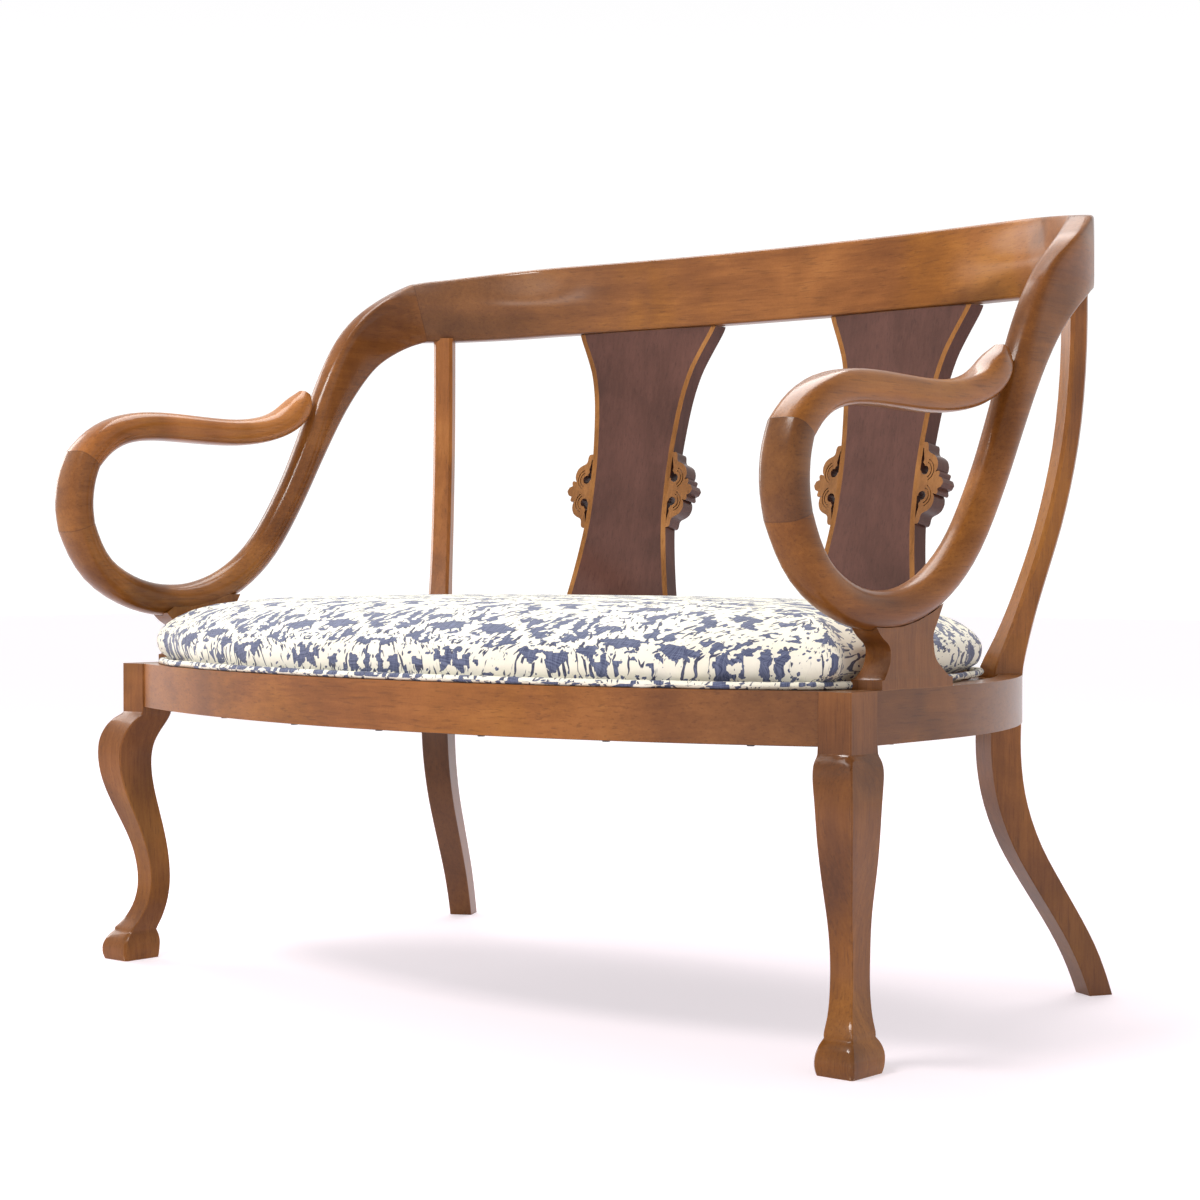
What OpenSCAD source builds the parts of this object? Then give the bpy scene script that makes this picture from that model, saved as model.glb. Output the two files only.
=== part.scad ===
// Two seat settee with a bowed back, scrolled arms and cabriole front legs.
// X runs along the seat, Y from front to back, Z up; left is the side of smaller X.

/* [Overall] */
// Height of the top of the seat rails
seat_h = 380; // [350:5:420]
// Height of the top of the crest rail
back_h = 930; // [860:5:1000]
// Distance between the centre planes of the two arms
arm_span = 1108; // [980:4:1240]
// Depth from the front of the legs to the middle of the crest rail
back_depth = 655; // [620:5:710]

/* [Front legs] */
// Width of the square block at the top of a leg
leg_w = 41; // [36:1:48]
// Depth of the block at the top of a leg
leg_d = 48; // [44:1:54]
// Distance from the arm's centre plane in to the leg's centre
leg_inset = 6.5; // [2:0.5:10]
// How far the knee swings out from the block, along each axis
knee_throw = 19; // [12:1:24]
// Height of the knee block line below the seat rails' top
knee_drop = 62; // [60:1:72]
// Height of the pad foot
foot_h = 36; // [28:1:44]
// Width of the pad foot against the width of the block
foot_share = 1.09; // [0.95:0.01:1.25]

/* [Seat rails] */
// Height of the seat rails
rail_h = 55; // [52:1:62]
// Thickness of the front rail
front_rail_t = 30; // [26:1:36]
// Thickness of the side rails
side_rail_t = 38; // [37.5:0.5:42]
// Thickness of the rear rail
rear_rail_t = 28; // [24:1:34]
// How far the front rail bows forward in the middle
front_bow = 112; // [70:2:130]
// How far the rear rail bows backward in the middle
rear_bow = 72; // [64:1:78]
// Angle in plan that a side rail turns through before it meets the rear leg
side_turn = 31; // [27:0.5:34]
// Set back of the rails from the faces of the leg blocks
rail_recess = 2; // [1:0.5:4]
// Depth of the rebate that holds the seat
rebate_h = 17; // [17:0.5:21]
// Width of the rebate in the front and side rails
rebate_w = 11; // [8:1:14]
// Width of the rebate in the rear rail
rear_rebate_w = 8; // [6:1:9]

/* [Rear legs] */
// Width of a rear leg across the splay, at the rails
stile_w = 38; // [32:1:42]
// Depth of a rear leg along the splay, at the rails
stile_d = 40; // [34:1:44]
// Distance from the arm's centre plane in to the rear leg, at the rails
stile_inset = 100; // [86:1:108]
// Distance from the middle of the crest rail forward to the rear leg, at the rails
stile_back = 191.5; // [165.5:1:214.5]
// Angle that a rear leg turns outward in plan
splay_deg = 28; // [20:1:36]
// How far the foot of a rear leg kicks back
foot_kick = 130; // [100:2:140]
// Turn of the crest rail in plan at which the top of a rear leg meets it
stile_turn = 55; // [52:0.2:56]
// Distance from the crest rail's middle line in to the rear leg, at its top
stile_step = 6.4; // [5:0.2:8]

/* [Crest rail and arms] */
// Height of the crest rail
crest_h = 100; // [84:2:116]
// Thickness of the crest rail
crest_t = 31; // [28:1:36]
// How far the crest rail bows back between its ends
crest_bow = 62; // [50:1:90]
// Radius in plan where the crest rail turns into an arm
corner_r = 210; // [195:5:225]
// Backward lean of the crest rail against its height
crest_rake = 0.2; // [0.12:0.01:0.26]
// Diameter of the round stretch of an arm
arm_d = 42; // [36:1:48]
// How far the front of an arm's loop leans inward
loop_lean = 5; // [0:1:8]
// Thickness of an arm pedestal along X
pedestal_t = 38; // [34:0.5:38.5]
// Length of a pedestal's base along the rail
pedestal_l = 131; // [121:2:141]
// Height of the plinth at the base of a pedestal
plinth_h = 10; // [7:1:14]

/* [Back splats] */
// Distance from the middle of the back to the middle of a splat
splat_x = 209; // [190:1:230]
// Width of a splat at the crest rail
splat_top_w = 228; // [204:2:244]
// Width of a splat at its waist
splat_waist_w = 132; // [112:2:150]
// Thickness of a splat's board
splat_t = 20; // [17:1:22]
// Thickness of the dark panel on a splat's front
panel_t = 3; // [2:0.5:4]
// Width of the bead round the dark panel
bead_w = 7.5; // [5:0.5:9]
// Reach of a carved ornament beyond the waist of its splat
ornament_w = 38; // [32:1:42]
// Height of a carved ornament
ornament_h = 104; // [92:2:116]

/* [Seat] */
// Rise of the seat cushion's crown above the rails
cushion_h = 90; // [66:2:104]
// Diameter of the welt round the foot of the cushion
welt_d = 8; // [6:0.5:10]
// Thickness of the wooden frame in the seat
frame_t = 13; // [11:0.5:13]
// Width of the members of the seat frame
frame_w = 52; // [44:1:60]
// Width of a webbing strap
web_w = 50; // [40:1:56]
// Thickness of a webbing strap
web_t = 1.5; // [1:0.1:1.6]

/* [Joints and fixings] */
// Diameter of the dowels
dowel_d = 10; // [8:0.5:12]
// Length of the dowels
dowel_l = 34; // [28:1:38]
// Length of a splat's tongues
tongue_l = 12; // [9:1:15]
// Thickness of a splat's tongues
tongue_t = 8; // [6:0.5:9]
// Distance of a front corner block's far face from the corner
block_l = 46; // [40:1:54]
// Thickness of a corner block
block_t = 24; // [18:1:30]
// Diameter of the screws' shanks
screw_d = 4.5; // [3.5:0.5:5.5]
// Length of the screws that hold the seat
screw_l = 42; // [40:1:45]
// Thickness of the dust cover
cover_t = 1.2; // [0.8:0.1:1.6]
// Diameter of a tack's head
tack_d = 8; // [6:0.5:10]

/* [Hidden] */

// Clearance round dowels, screws and tongues, and between soft pieces and wood
fit = 0.2;
soft_gap = 0.3;
// Overrun of a cut past the face that it opens
over = 1;

// Colours
wood = "#8a4f22";
panel_wood = "#5d3f3c";
carved = "#9a6126";
beech = "#c9a878";
cloth = "#e9e3cf";
jute = "#b08f5e";
steel = "#8d8f92";
black = "#26262a";

// Places worked out from the driving sizes
arm_x = arm_span / 2;
leg_x = arm_x - leg_inset;
rail_base = seat_h - rail_h;
rise = back_h - seat_h;
knee_z = seat_h - knee_drop;
stile_x = arm_x - stile_inset;
stile_y = back_depth - stile_back;
crest_base = back_h - crest_h;
leg_inner = leg_x - leg_w / 2;
side_outer = leg_x + leg_w / 2 - rail_recess;
arm_front_share = -0.135;
y_front = min(rail_recess - front_bow, back_depth * arm_front_share - arm_d / 2);
y_back = back_depth + crest_t / 2 + crest_rake * crest_h / 2;
y_mid = (y_front + y_back) / 2;

// Everything is placed with the origin under the middle of the whole object.
module place() {
    translate([0, -y_mid, 0]) children();
}

// Draws its children for the right side, or mirrored for the left.
module on_side(side) {
    mirror([side < 0 ? 1 : 0, 0, 0]) children();
}

function lerp(a, b, t) = a + (b - a) * t;
function unit(v) = v / norm(v);

// A smooth curve through control rows of any length, n steps to a gap.
function spline_at(a, b, c, d, t) =
    b + ((c - a) * t + (2 * a - 5 * b + 4 * c - d) * t * t + (3 * b - a - 3 * c + d) * t * t * t) / 2;
function spline(rows, n) =
    let (last = len(rows) - 1)
    [for (i = [0 : last - 1], k = [0 : n - 1])
        spline_at(rows[max(i - 1, 0)], rows[i], rows[i + 1], rows[min(i + 2, last)], k / n),
     rows[last]];
function closed_spline(rows, n) =
    let (m = len(rows))
    [for (i = [0 : m - 1], k = [0 : n - 1])
        spline_at(rows[(i + m - 1) % m], rows[i], rows[(i + 1) % m], rows[(i + 2) % m], k / n)];

// Points round a rounded rectangle of half sizes a and b; a roundness of 1 gives a circle or oval.
function section(a, b, roundness, corner_steps) =
    let (r = roundness * min(a, b))
    [for (q = [0 : 3], k = [0 : corner_steps - 1])
        let (turn = 90 * q + 90 * (k + 1 / 2) / corner_steps,
             sx = (q == 0 || q == 3) ? 1 : -1,
             sy = (q < 2) ? 1 : -1)
        [sx * (a - r) + r * cos(turn), sy * (b - r) + r * sin(turn)]];

// A solid through rings of points, all rings of the same length, with flat ends.
module loft(rings) {
    m = len(rings);
    n = len(rings[0]);
    sides = [for (i = [0 : m - 2], j = [0 : n - 1])
        let (a = i * n + j, b = i * n + (j + 1) % n, c = a + n, d = b + n)
        each [[a, d, b], [a, c, d]]];
    ends = [[for (j = [0 : n - 1]) j], [for (j = [n - 1 : -1 : 0]) (m - 1) * n + j]];
    polyhedron(points = [for (ring = rings) each ring], faces = concat(sides, ends));
}

// A closed loop of rings, such as the welt.
module ring_loft(rings) {
    m = len(rings);
    n = len(rings[0]);
    polyhedron(
        points = [for (ring = rings) each ring],
        faces = [for (i = [0 : m - 1], j = [0 : n - 1])
            let (next = ((i + 1) % m) * n, a = i * n + j, b = i * n + (j + 1) % n, c = next + j,
                 d = next + (j + 1) % n)
            each [[a, d, b], [a, c, d]]]);
}

// Plan of the crest rail: a shallow bow that turns through an arc into each arm.
function bow_slope(x) = 2 * crest_bow * x / (arm_x * arm_x);
function bow_y(x) = back_depth - crest_bow * x * x / (arm_x * arm_x);
function meet_x(x, tries) =
    tries == 0 ? x : meet_x(arm_x - corner_r + corner_r * sin(atan(bow_slope(x))), tries - 1);
bow_end = meet_x(arm_x - corner_r, 4);
bow_turn = atan(bow_slope(bow_end));
arc_y = bow_y(bow_end) - corner_r * cos(bow_turn);
function corner_place(turn, inset) =
    [arm_x - corner_r + (corner_r - inset) * sin(turn), arc_y + (corner_r - inset) * cos(turn)];
seam_turn = 66;
rake_end_turn = 40;
seam_drop_share = 0.028;
seam_height_share = 0.85;
fall_power_share = 1.5;

// Rows of [x, y, z, half width, half height, roundness, rake] along the crest and arm.
crest_round_share = 0.4;
crest_bow_shares = [0, 0.17, 0.34, 0.52, 0.7, 0.86];
crest_bow_rows = [for (s = crest_bow_shares)
    [bow_end * s, bow_y(bow_end * s), back_h - crest_h / 2,
     crest_t / 2, crest_h / 2, crest_round_share, crest_rake]];
crest_arc_turns = [bow_turn, 20, 32, 44, 55, seam_turn];
function arc_row(turn, z, half_t, half_h, roundness, rake) =
    [each corner_place(turn, 0), z, half_t, half_h, roundness, rake];
function fall(turn) = pow((turn - bow_turn) / (seam_turn - bow_turn), fall_power_share);
crest_arc_rows = [for (turn = crest_arc_turns)
    arc_row(turn, back_h - crest_h / 2 - rise * seam_drop_share * fall(turn), crest_t / 2,
            crest_h / 2 * lerp(1, seam_height_share, fall(turn)), crest_round_share,
            crest_rake * max(0, (rake_end_turn - turn) / (rake_end_turn - bow_turn)))];

// The arm from the seam in the corner to the leaf tip, in shares of back_depth, rise and arm_d / 2.
arm_turn_shares = [[78, 0.846, 0.74, 1.82, 0.46], [90, 0.796, 0.74, 1.70, 0.56]];
arm_path_shares = [
    [0.588, 0.733, 0.78, 1.56, 0.70],
    [0.537, 0.645, 0.88, 1.33, 0.85],
    [0.496, 0.556, 0.95, 1.14, 0.95],
    [0.458, 0.473, 1.00, 1.04, 1.00],
    [0.418, 0.391, 1.00, 1.00, 1.00],
    [0.348, 0.273, 1.00, 1.00, 1.00],
    [0.267, 0.196, 1.00, 1.00, 1.00],
    [0.183, 0.156, 1.00, 1.00, 1.00],
    [0.104, 0.145, 1.00, 1.00, 1.00],
    [0.015, 0.160, 1.03, 1.00, 1.00],
    [-0.079, 0.218, 1.10, 0.98, 0.95],
    [-0.128, 0.316, 1.16, 0.95, 0.85],
    [arm_front_share, 0.396, 1.17, 0.95, 0.80],
    [-0.116, 0.470, 1.15, 0.92, 0.80],
    [-0.061, 0.526, 1.12, 0.89, 0.85],
    [0.008, 0.551, 1.08, 0.90, 0.85],
    [0.092, 0.555, 1.05, 0.89, 0.85],
    [0.183, 0.551, 1.03, 0.87, 0.85],
    [0.275, 0.550, 1.00, 0.85, 0.85],
    [0.351, 0.562, 0.98, 0.84, 0.85],
    [0.400, 0.582, 0.96, 0.86, 0.80],
    [0.432, 0.606, 0.93, 0.90, 0.75],
    [0.453, 0.632, 0.76, 0.72, 0.65],
    [0.465, 0.658, 0.36, 0.34, 0.60]];
half_arm = arm_d / 2;
arm_turn_rows = [for (s = arm_turn_shares)
    arc_row(s[0], seat_h + rise * s[1], half_arm * s[2], half_arm * s[3], s[4], 0)];
lean_start_share = 0.25;
lean_low_share = 0.22;
lean_high_share = 0.50;
function inward(s) =
    loop_lean * max(0, lean_start_share - s[0]) / (lean_start_share - arm_front_share)
              * min(1, max(0, s[1] - lean_low_share) / (lean_high_share - lean_low_share));
arm_straight_rows = [for (s = arm_path_shares)
    [arm_x - inward(s), back_depth * s[0], seat_h + rise * s[1], half_arm * s[2], half_arm * s[3], s[4], 0]];
half_rows = concat(crest_bow_rows, crest_arc_rows, arm_turn_rows, arm_straight_rows);
steps = 2;
path_corner_steps = 4;
half_path = spline(half_rows, steps);
crest_count = (len(crest_bow_rows) + len(crest_arc_rows) - 1) * steps;
turn_count = crest_count + len(arm_turn_rows) * steps;
front_first = turn_count + 12 * steps;
front_last = front_first + 2 * steps;
path_last = len(half_path) - 1;

function place_of(row) = [row[0], row[1], row[2]];
function heading(i) =
    i == 0 ? [1, 0, 0]
           : unit(place_of(half_path[min(i + 1, path_last)]) - place_of(half_path[i - 1]));
function path_ring(i) =
    let (row = half_path[i],
         t = heading(i),
         s = i < turn_count ? unit([-t[1], t[0], 0]) : [1, 0, 0],
         u = cross(t, s) + row[6] * s)
    [for (p = section(row[3], row[4], row[5], path_corner_steps)) place_of(row) + s * p[0] + u * p[1]];

function mirrored_ring(ring) = [for (p = ring) [-p[0], p[1], p[2]]];

module path_piece(first, last) {
    loft([for (i = [first : last]) path_ring(i)]);
}

leg_corner_steps = 2;
// A square leg section at a place in plan, w along the first axis turned by an angle.
function leg_ring(x, y, z, w, d, roundness, turn) =
    [for (p = section(w / 2, d / 2, roundness, leg_corner_steps))
        [x + p[0] * cos(turn) + p[1] * sin(turn), y - p[0] * sin(turn) + p[1] * cos(turn), z]];

// Rows of height, throw outward, throw forward, width and depth up a front leg, in shares.
front_leg_shares = [
    [0.015, 0.53, 0.55, 0.890, 0.885], [0.045, 0.32, 0.25, 0.800, 0.800], [0.085, 0.13, -0.04, 0.725, 0.740],
    [0.135, -0.03, -0.27, 0.700, 0.680], [0.190, -0.12, -0.40, 0.690, 0.660],
    [0.240, -0.13, -0.43, 0.690, 0.660], [0.300, -0.10, -0.38, 0.700, 0.680],
    [0.370, -0.02, -0.22, 0.730, 0.715], [0.440, 0.13, 0.04, 0.790, 0.780], [0.510, 0.32, 0.35, 0.880, 0.855],
    [0.580, 0.54, 0.67, 0.960, 0.940], [0.650, 0.73, 0.96, 1.025, 1.010], [0.720, 0.86, 1.17, 1.080, 1.065],
    [0.790, 0.91, 1.25, 1.120, 1.100], [0.845, 0.86, 1.18, 1.150, 1.145], [0.880, 0.76, 1.05, 1.175, 1.185],
    [0.915, 0.61, 0.83, 1.195, 1.215], [0.945, 0.43, 0.57, 1.195, 1.215], [0.970, 0.25, 0.33, 1.155, 1.160],
    [0.988, 0.08, 0.10, 1.060, 1.050], [1.000, 0.00, 0.00, 1.000, 1.000]];
pad_foot_shares = [
    [0.00, 0.70, 0.84, 1.03, 1.05], [0.15, 0.73, 0.87, 1.10, 1.12], [0.40, 0.74, 0.87, 1.12, 1.155],
    [0.60, 0.73, 0.80, 1.08, 1.14], [0.82, 0.68, 0.73, 0.96, 1.04], [0.94, 0.62, 0.66, 0.85, 0.91],
    [1.00, 0.58, 0.62, 0.81, 0.84]];
leg_round_share = 0.12;
foot_round_share = 0.22;

module front_leg(side) {
    run = knee_z - foot_h;
    foot_rings = [for (s = pad_foot_shares)
        leg_ring(leg_x + knee_throw * s[1], leg_d / 2 - knee_throw * s[2], foot_h * s[0],
                 leg_w * foot_share * s[3], leg_d * foot_share * s[4], foot_round_share, 0)];
    leg_rings = [for (s = front_leg_shares)
        leg_ring(leg_x + knee_throw * s[1], leg_d / 2 - knee_throw * s[2], foot_h + run * s[0],
                 leg_w * s[3], leg_d * s[4], leg_round_share, 0)];
    block_ring = leg_ring(leg_x, leg_d / 2, seat_h, leg_w, leg_d, leg_round_share, 0);
    color(wood) place() on_side(side) difference() {
        loft(concat(foot_rings, leg_rings, [block_ring]));
        dowel_bores();
    }
}
module front_leg_left() { front_leg(-1); }
module front_leg_right() { front_leg(1); }

// Rows of height, kick, width and depth of a rear leg below the rails, from the floor up.
rear_foot_shares = [
    [0.00, 1.00, 0.84, 0.78], [0.09, 0.92, 0.85, 0.81], [0.19, 0.80, 0.87, 0.86],
    [0.28, 0.66, 0.89, 0.89], [0.37, 0.51, 0.91, 0.92], [0.46, 0.36, 0.93, 0.94],
    [0.55, 0.22, 0.95, 0.95], [0.65, 0.11, 0.97, 0.97], [0.74, 0.04, 0.99, 0.98],
    [0.84, 0.00, 1.00, 1.00], [0.93, -0.01, 1.00, 1.00], [1.00, 0.00, 1.00, 1.00]];
// Rows of height, lean, width, depth and roundness of a rear leg from the rails to the crest rail.
stile_shares = [
    [0.00, 0.00, 1.00, 1.00, 0.12], [0.04, 0.07, 0.94, 0.92, 0.20], [0.09, 0.17, 0.86, 0.80, 0.35],
    [0.17, 0.31, 0.79, 0.69, 0.50], [0.28, 0.50, 0.77, 0.64, 0.60], [0.38, 0.66, 0.77, 0.63, 0.60],
    [0.48, 0.78, 0.76, 0.61, 0.60], [0.59, 0.89, 0.76, 0.60, 0.60], [0.71, 0.96, 0.76, 0.60, 0.60],
    [0.85, 1.00, 0.76, 0.60, 0.60], [1.00, 1.00, 0.76, 0.62, 0.60]];

module rear_leg(side) {
    stile_run = crest_base - seat_h;
    foot_rings = [for (s = rear_foot_shares)
        let (spot = stile_place + foot_kick * s[1] * stile_along)
        leg_ring(spot[0], spot[1], rail_base * s[0], stile_w * s[2], stile_d * s[3], leg_round_share,
                 splay_deg)];
    stile_rings = [for (s = stile_shares)
        let (spot = lerp(stile_place, corner_place(stile_turn, stile_step), s[1]))
        leg_ring(spot[0], spot[1], seat_h + stile_run * s[0], stile_w * s[2], stile_d * s[3], s[4],
                 splay_deg)];
    color(wood) place() difference() {
        on_side(side) difference() {
            loft(concat(foot_rings, stile_rings));
            dowel_bores();
            crest_dowel(dowel_d + 2 * fit);
        }
        crest_body();
    }
}
module rear_leg_left() { rear_leg(-1); }
module rear_leg_right() { rear_leg(1); }

// Plan curves of the seat, each set in by a distance from the outer faces of the rails.
front_r = (leg_inner * leg_inner + front_bow * front_bow) / (2 * front_bow);
function front_line(x, inset) =
    rail_recess - front_bow + front_r - sqrt((front_r - inset) * (front_r - inset) - x * x);
stile_across = [cos(splay_deg), -sin(splay_deg)];
stile_along = [sin(splay_deg), cos(splay_deg)];
stile_place = [stile_x, stile_y];
side_end = stile_place + stile_across * stile_w / 2 + stile_along * stile_d / 2;
side_r = (side_outer - side_end[0]) / (1 - cos(side_turn));
side_y = side_end[1] - side_r * sin(side_turn);
function side_arc(turn, inset) =
    [side_outer - side_r + (side_r - inset) * cos(turn), side_y + (side_r - inset) * sin(turn)];
rear_end = stile_place - stile_across * stile_w / 2;
rear_y = rear_end[1] + rear_bow;
function rear_line(x, inset) =
    rear_y + rear_rail_t / 2 - inset - rear_bow * pow(abs(x) / rear_end[0], 4);
curve_steps = 16;
flank_spare_share = 1.35;
front_xs = [for (k = [-curve_steps : curve_steps]) leg_inner * k / curve_steps];
flank_turns = [for (k = [0 : curve_steps]) side_turn * flank_spare_share * k / curve_steps];
rear_xs = [for (k = [-curve_steps : curve_steps]) stile_x * k / curve_steps];
function backward(list) = [for (k = [len(list) - 1 : -1 : 0]) list[k]];

// The area inside the rails' outer faces, set in by a distance on each side.
module seat_area(front_inset, side_inset, rear_inset) {
    flank = [for (turn = flank_turns) side_arc(turn, side_inset)];
    corner = side_outer - side_inset;
    intersection() {
        polygon(concat([[-side_outer, front_line(side_outer, front_inset)]],
                       [for (x = front_xs) [x, front_line(x, front_inset)]],
                       [[side_outer, front_line(side_outer, front_inset)],
                        [side_outer, back_depth], [-side_outer, back_depth]]));
        polygon(concat([[corner, -front_bow]], flank, [for (p = backward(flank)) [-p[0], p[1]]],
                       [[-corner, -front_bow]]));
        polygon(concat([[-side_outer, -front_bow], [side_outer, -front_bow],
                        [side_outer, rear_line(stile_x, rear_inset)]],
                       [for (x = backward(rear_xs)) [x, rear_line(x, rear_inset)]],
                       [[-side_outer, rear_line(stile_x, rear_inset)]]));
    }
}

// The rebate in the rails that the seat frame drops into.
module rebate_cut() {
    translate([0, 0, seat_h - rebate_h]) linear_extrude(rebate_h + over)
        seat_area(front_rail_t - rebate_w, side_rail_t - rebate_w, rear_rail_t - rear_rebate_w);
}

module front_seat_rail() {
    color(wood) place() difference() {
        translate([0, 0, rail_base]) linear_extrude(rail_h)
            polygon(concat([for (x = front_xs) [x, front_line(x, 0)]],
                           [for (x = backward(front_xs)) [x, front_line(x, front_rail_t)]]));
        rebate_cut();
        for (side = [-1, 1]) on_side(side) dowel_bores();
        tack_shanks();
    }
}

// Everything beyond the face of a rear leg that a rail butts against.
module beyond_stile(face_side) {
    reach = 4 * stile_w;
    from = face_side > 0 ? stile_w / 2 - reach : -stile_w / 2;
    translate([stile_x, stile_y, 0]) rotate(-splay_deg)
        translate([from, -reach, 0]) cube([reach, 2 * reach, seat_h + over]);
}

module side_seat_rail(side) {
    color(wood) place() on_side(side) difference() {
        translate([0, 0, rail_base]) linear_extrude(rail_h)
            polygon(concat([[side_outer, leg_d]], [for (turn = flank_turns) side_arc(turn, 0)],
                           [for (turn = backward(flank_turns)) side_arc(turn, side_rail_t)],
                           [[side_outer - side_rail_t, leg_d]]));
        beyond_stile(1);
        rebate_cut();
        dowel_bores();
        pedestal_dowel_set(dowel_d + 2 * fit);
        tack_shanks();
    }
}
module side_seat_rail_left() { side_seat_rail(-1); }
module side_seat_rail_right() { side_seat_rail(1); }

module rear_seat_rail() {
    color(wood) place() difference() {
        translate([0, 0, rail_base]) linear_extrude(rail_h)
            polygon(concat([for (x = rear_xs) [x, rear_line(x, rear_rail_t)]],
                           [for (x = backward(rear_xs)) [x, rear_line(x, 0)]]));
        for (side = [-1, 1]) on_side(side) {
            beyond_stile(-1);
            dowel_bores();
        }
        rebate_cut();
        for (side = [-1, 1]) on_side(side) splat_tongues(fit);
        tack_shanks();
    }
}

module crest_body() {
    loft(concat([for (i = [crest_count : -1 : 1]) mirrored_ring(path_ring(i))],
                [for (i = [0 : crest_count]) path_ring(i)]));
}
module crest_rail() {
    color(wood) place() difference() {
        crest_body();
        for (side = [-1, 1]) on_side(side) {
            splat_tongues(fit);
            crest_dowel(dowel_d + 2 * fit);
            seam_dowel(crest_count, dowel_d + 2 * fit);
        }
    }
}

module arm_sweep(side) {
    color(wood) place() on_side(side) difference() {
        path_piece(crest_count, front_first);
        seam_dowel(crest_count, dowel_d + 2 * fit);
        seam_dowel(front_first, dowel_d + 2 * fit);
        pedestal_dowel_set(dowel_d + 2 * fit);
    }
}
module arm_sweep_left() { arm_sweep(-1); }
module arm_sweep_right() { arm_sweep(1); }

module arm_front(side) {
    color(wood) place() on_side(side) difference() {
        path_piece(front_first, front_last);
        seam_dowel(front_first, dowel_d + 2 * fit);
        seam_dowel(front_last, dowel_d + 2 * fit);
    }
}
module arm_front_left() { arm_front(-1); }
module arm_front_right() { arm_front(1); }

module arm_scroll(side) {
    color(wood) place() on_side(side) difference() {
        path_piece(front_last, path_last);
        seam_dowel(front_last, dowel_d + 2 * fit);
        path_piece(turn_count, turn_count + 4 * steps);
    }
}
module arm_scroll_left() { arm_scroll(-1); }
module arm_scroll_right() { arm_scroll(1); }

// Side outline of a pedestal above its plinth, in shares of its length from the middle and of its height.
pedestal_front_shares = [[-0.48, -0.02], [-0.41, 0.19], [-0.37, 0.45], [-0.39, 0.71], [-0.50, 0.90]];
pedestal_rear_shares = [[0.226, 0.95], [0.233, 0.71], [0.265, 0.39], [0.405, 0.10], [0.465, -0.02]];
pedestal_tip_shares = [-0.578, 0.367];
pedestal_grip_share = 0.9;
pedestal_flare_share = 0.45;
// Half widths of a pedestal to the outside and inside, in shares of its thickness, against height.
pedestal_outer_shares = [[0.50, 0.00], [0.50, 0.17], [0.48, 0.30], [0.48, 0.85], [0.50, 1.05], [0.50, 2.00]];
pedestal_inner_shares = [[0.50, 0.00], [0.50, 0.17], [0.40, 0.30], [0.34, 0.60]];
pedestal_ear_shares = [0.85, 2.00];
pedestal_y_share = 0.188;
pedestal_y = back_depth * pedestal_y_share;
pedestal_x = side_outer - pedestal_t / 2;
arm_seat_share = arm_path_shares[7];
arm_low_share = arm_path_shares[8];
pedestal_rise = rise * arm_low_share[1] - half_arm;
outline_steps = 3;

// Height of the arm's centre line above the rails, at a distance along the pedestal from its middle.
arm_heights = [for (k = [9 : -1 : 5]) [back_depth * arm_path_shares[k][0], rise * arm_path_shares[k][1]]];
function arm_height(along) = lookup(pedestal_y + along, arm_heights);
function pedestal_tip(share) =
    [pedestal_l * share, arm_height(pedestal_l * share) - half_arm * pedestal_grip_share];
function pedestal_side(shares) =
    [for (s = shares) [pedestal_l * s[0], lerp(plinth_h, pedestal_rise, s[1])]];

module arm_pedestal(side) {
    rear_side = pedestal_side(pedestal_rear_shares);
    front_tip = pedestal_tip(pedestal_tip_shares[0]);
    rear_tip = pedestal_tip(pedestal_tip_shares[1]);
    saddle = [for (s = [arm_low_share, arm_seat_share]) [back_depth * s[0] - pedestal_y, rise * s[1]]];
    profile = concat(
        spline(concat(pedestal_side(pedestal_front_shares), [front_tip]), outline_steps),
        saddle,
        spline(concat([rear_tip, lerp(rear_side[0], rear_tip, pedestal_flare_share)], rear_side),
               outline_steps));
    ear = arm_x - half_arm * pedestal_grip_share - pedestal_x;
    widths = concat([for (s = pedestal_outer_shares) [pedestal_t * s[0], pedestal_rise * s[1]]],
                    [for (s = backward(pedestal_ear_shares)) [ear, pedestal_rise * s]],
                    [for (s = backward(pedestal_inner_shares)) [-pedestal_t * s[0], pedestal_rise * s[1]]]);
    color(wood) place() on_side(side) difference() {
        translate([pedestal_x, pedestal_y, seat_h]) intersection() {
            union() {
                rotate([90, 0, 90]) linear_extrude(pedestal_t, center = true) polygon(profile);
                translate([-pedestal_t / 2, -pedestal_l / 2, 0]) cube([pedestal_t, pedestal_l, plinth_h]);
            }
            rotate([90, 0, 0]) linear_extrude(2 * pedestal_l, center = true) polygon(widths);
        }
        path_piece(turn_count + 5 * steps, front_first - steps);
        pedestal_dowel_set(dowel_d + 2 * fit);
    }
}
module arm_pedestal_left() { arm_pedestal(-1); }
module arm_pedestal_right() { arm_pedestal(1); }

// The leaning plane of a splat: x across, z up the lean from the crest rail's underside.
splat_top_y = bow_y(splat_x) - crest_rake * crest_h / 2;
splat_foot_share = 0.3;
splat_foot_y = rear_line(splat_x, rear_rail_t * splat_foot_share);
splat_lean = atan((splat_top_y - splat_foot_y) / (crest_base - seat_h));
splat_length = (crest_base - seat_h) / cos(splat_lean);
splat_total_t = splat_t + panel_t;
module on_splat() {
    translate([splat_x, splat_top_y, crest_base])
        rotate([-splat_lean, 0, -atan(bow_slope(splat_x))]) children();
}

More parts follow.
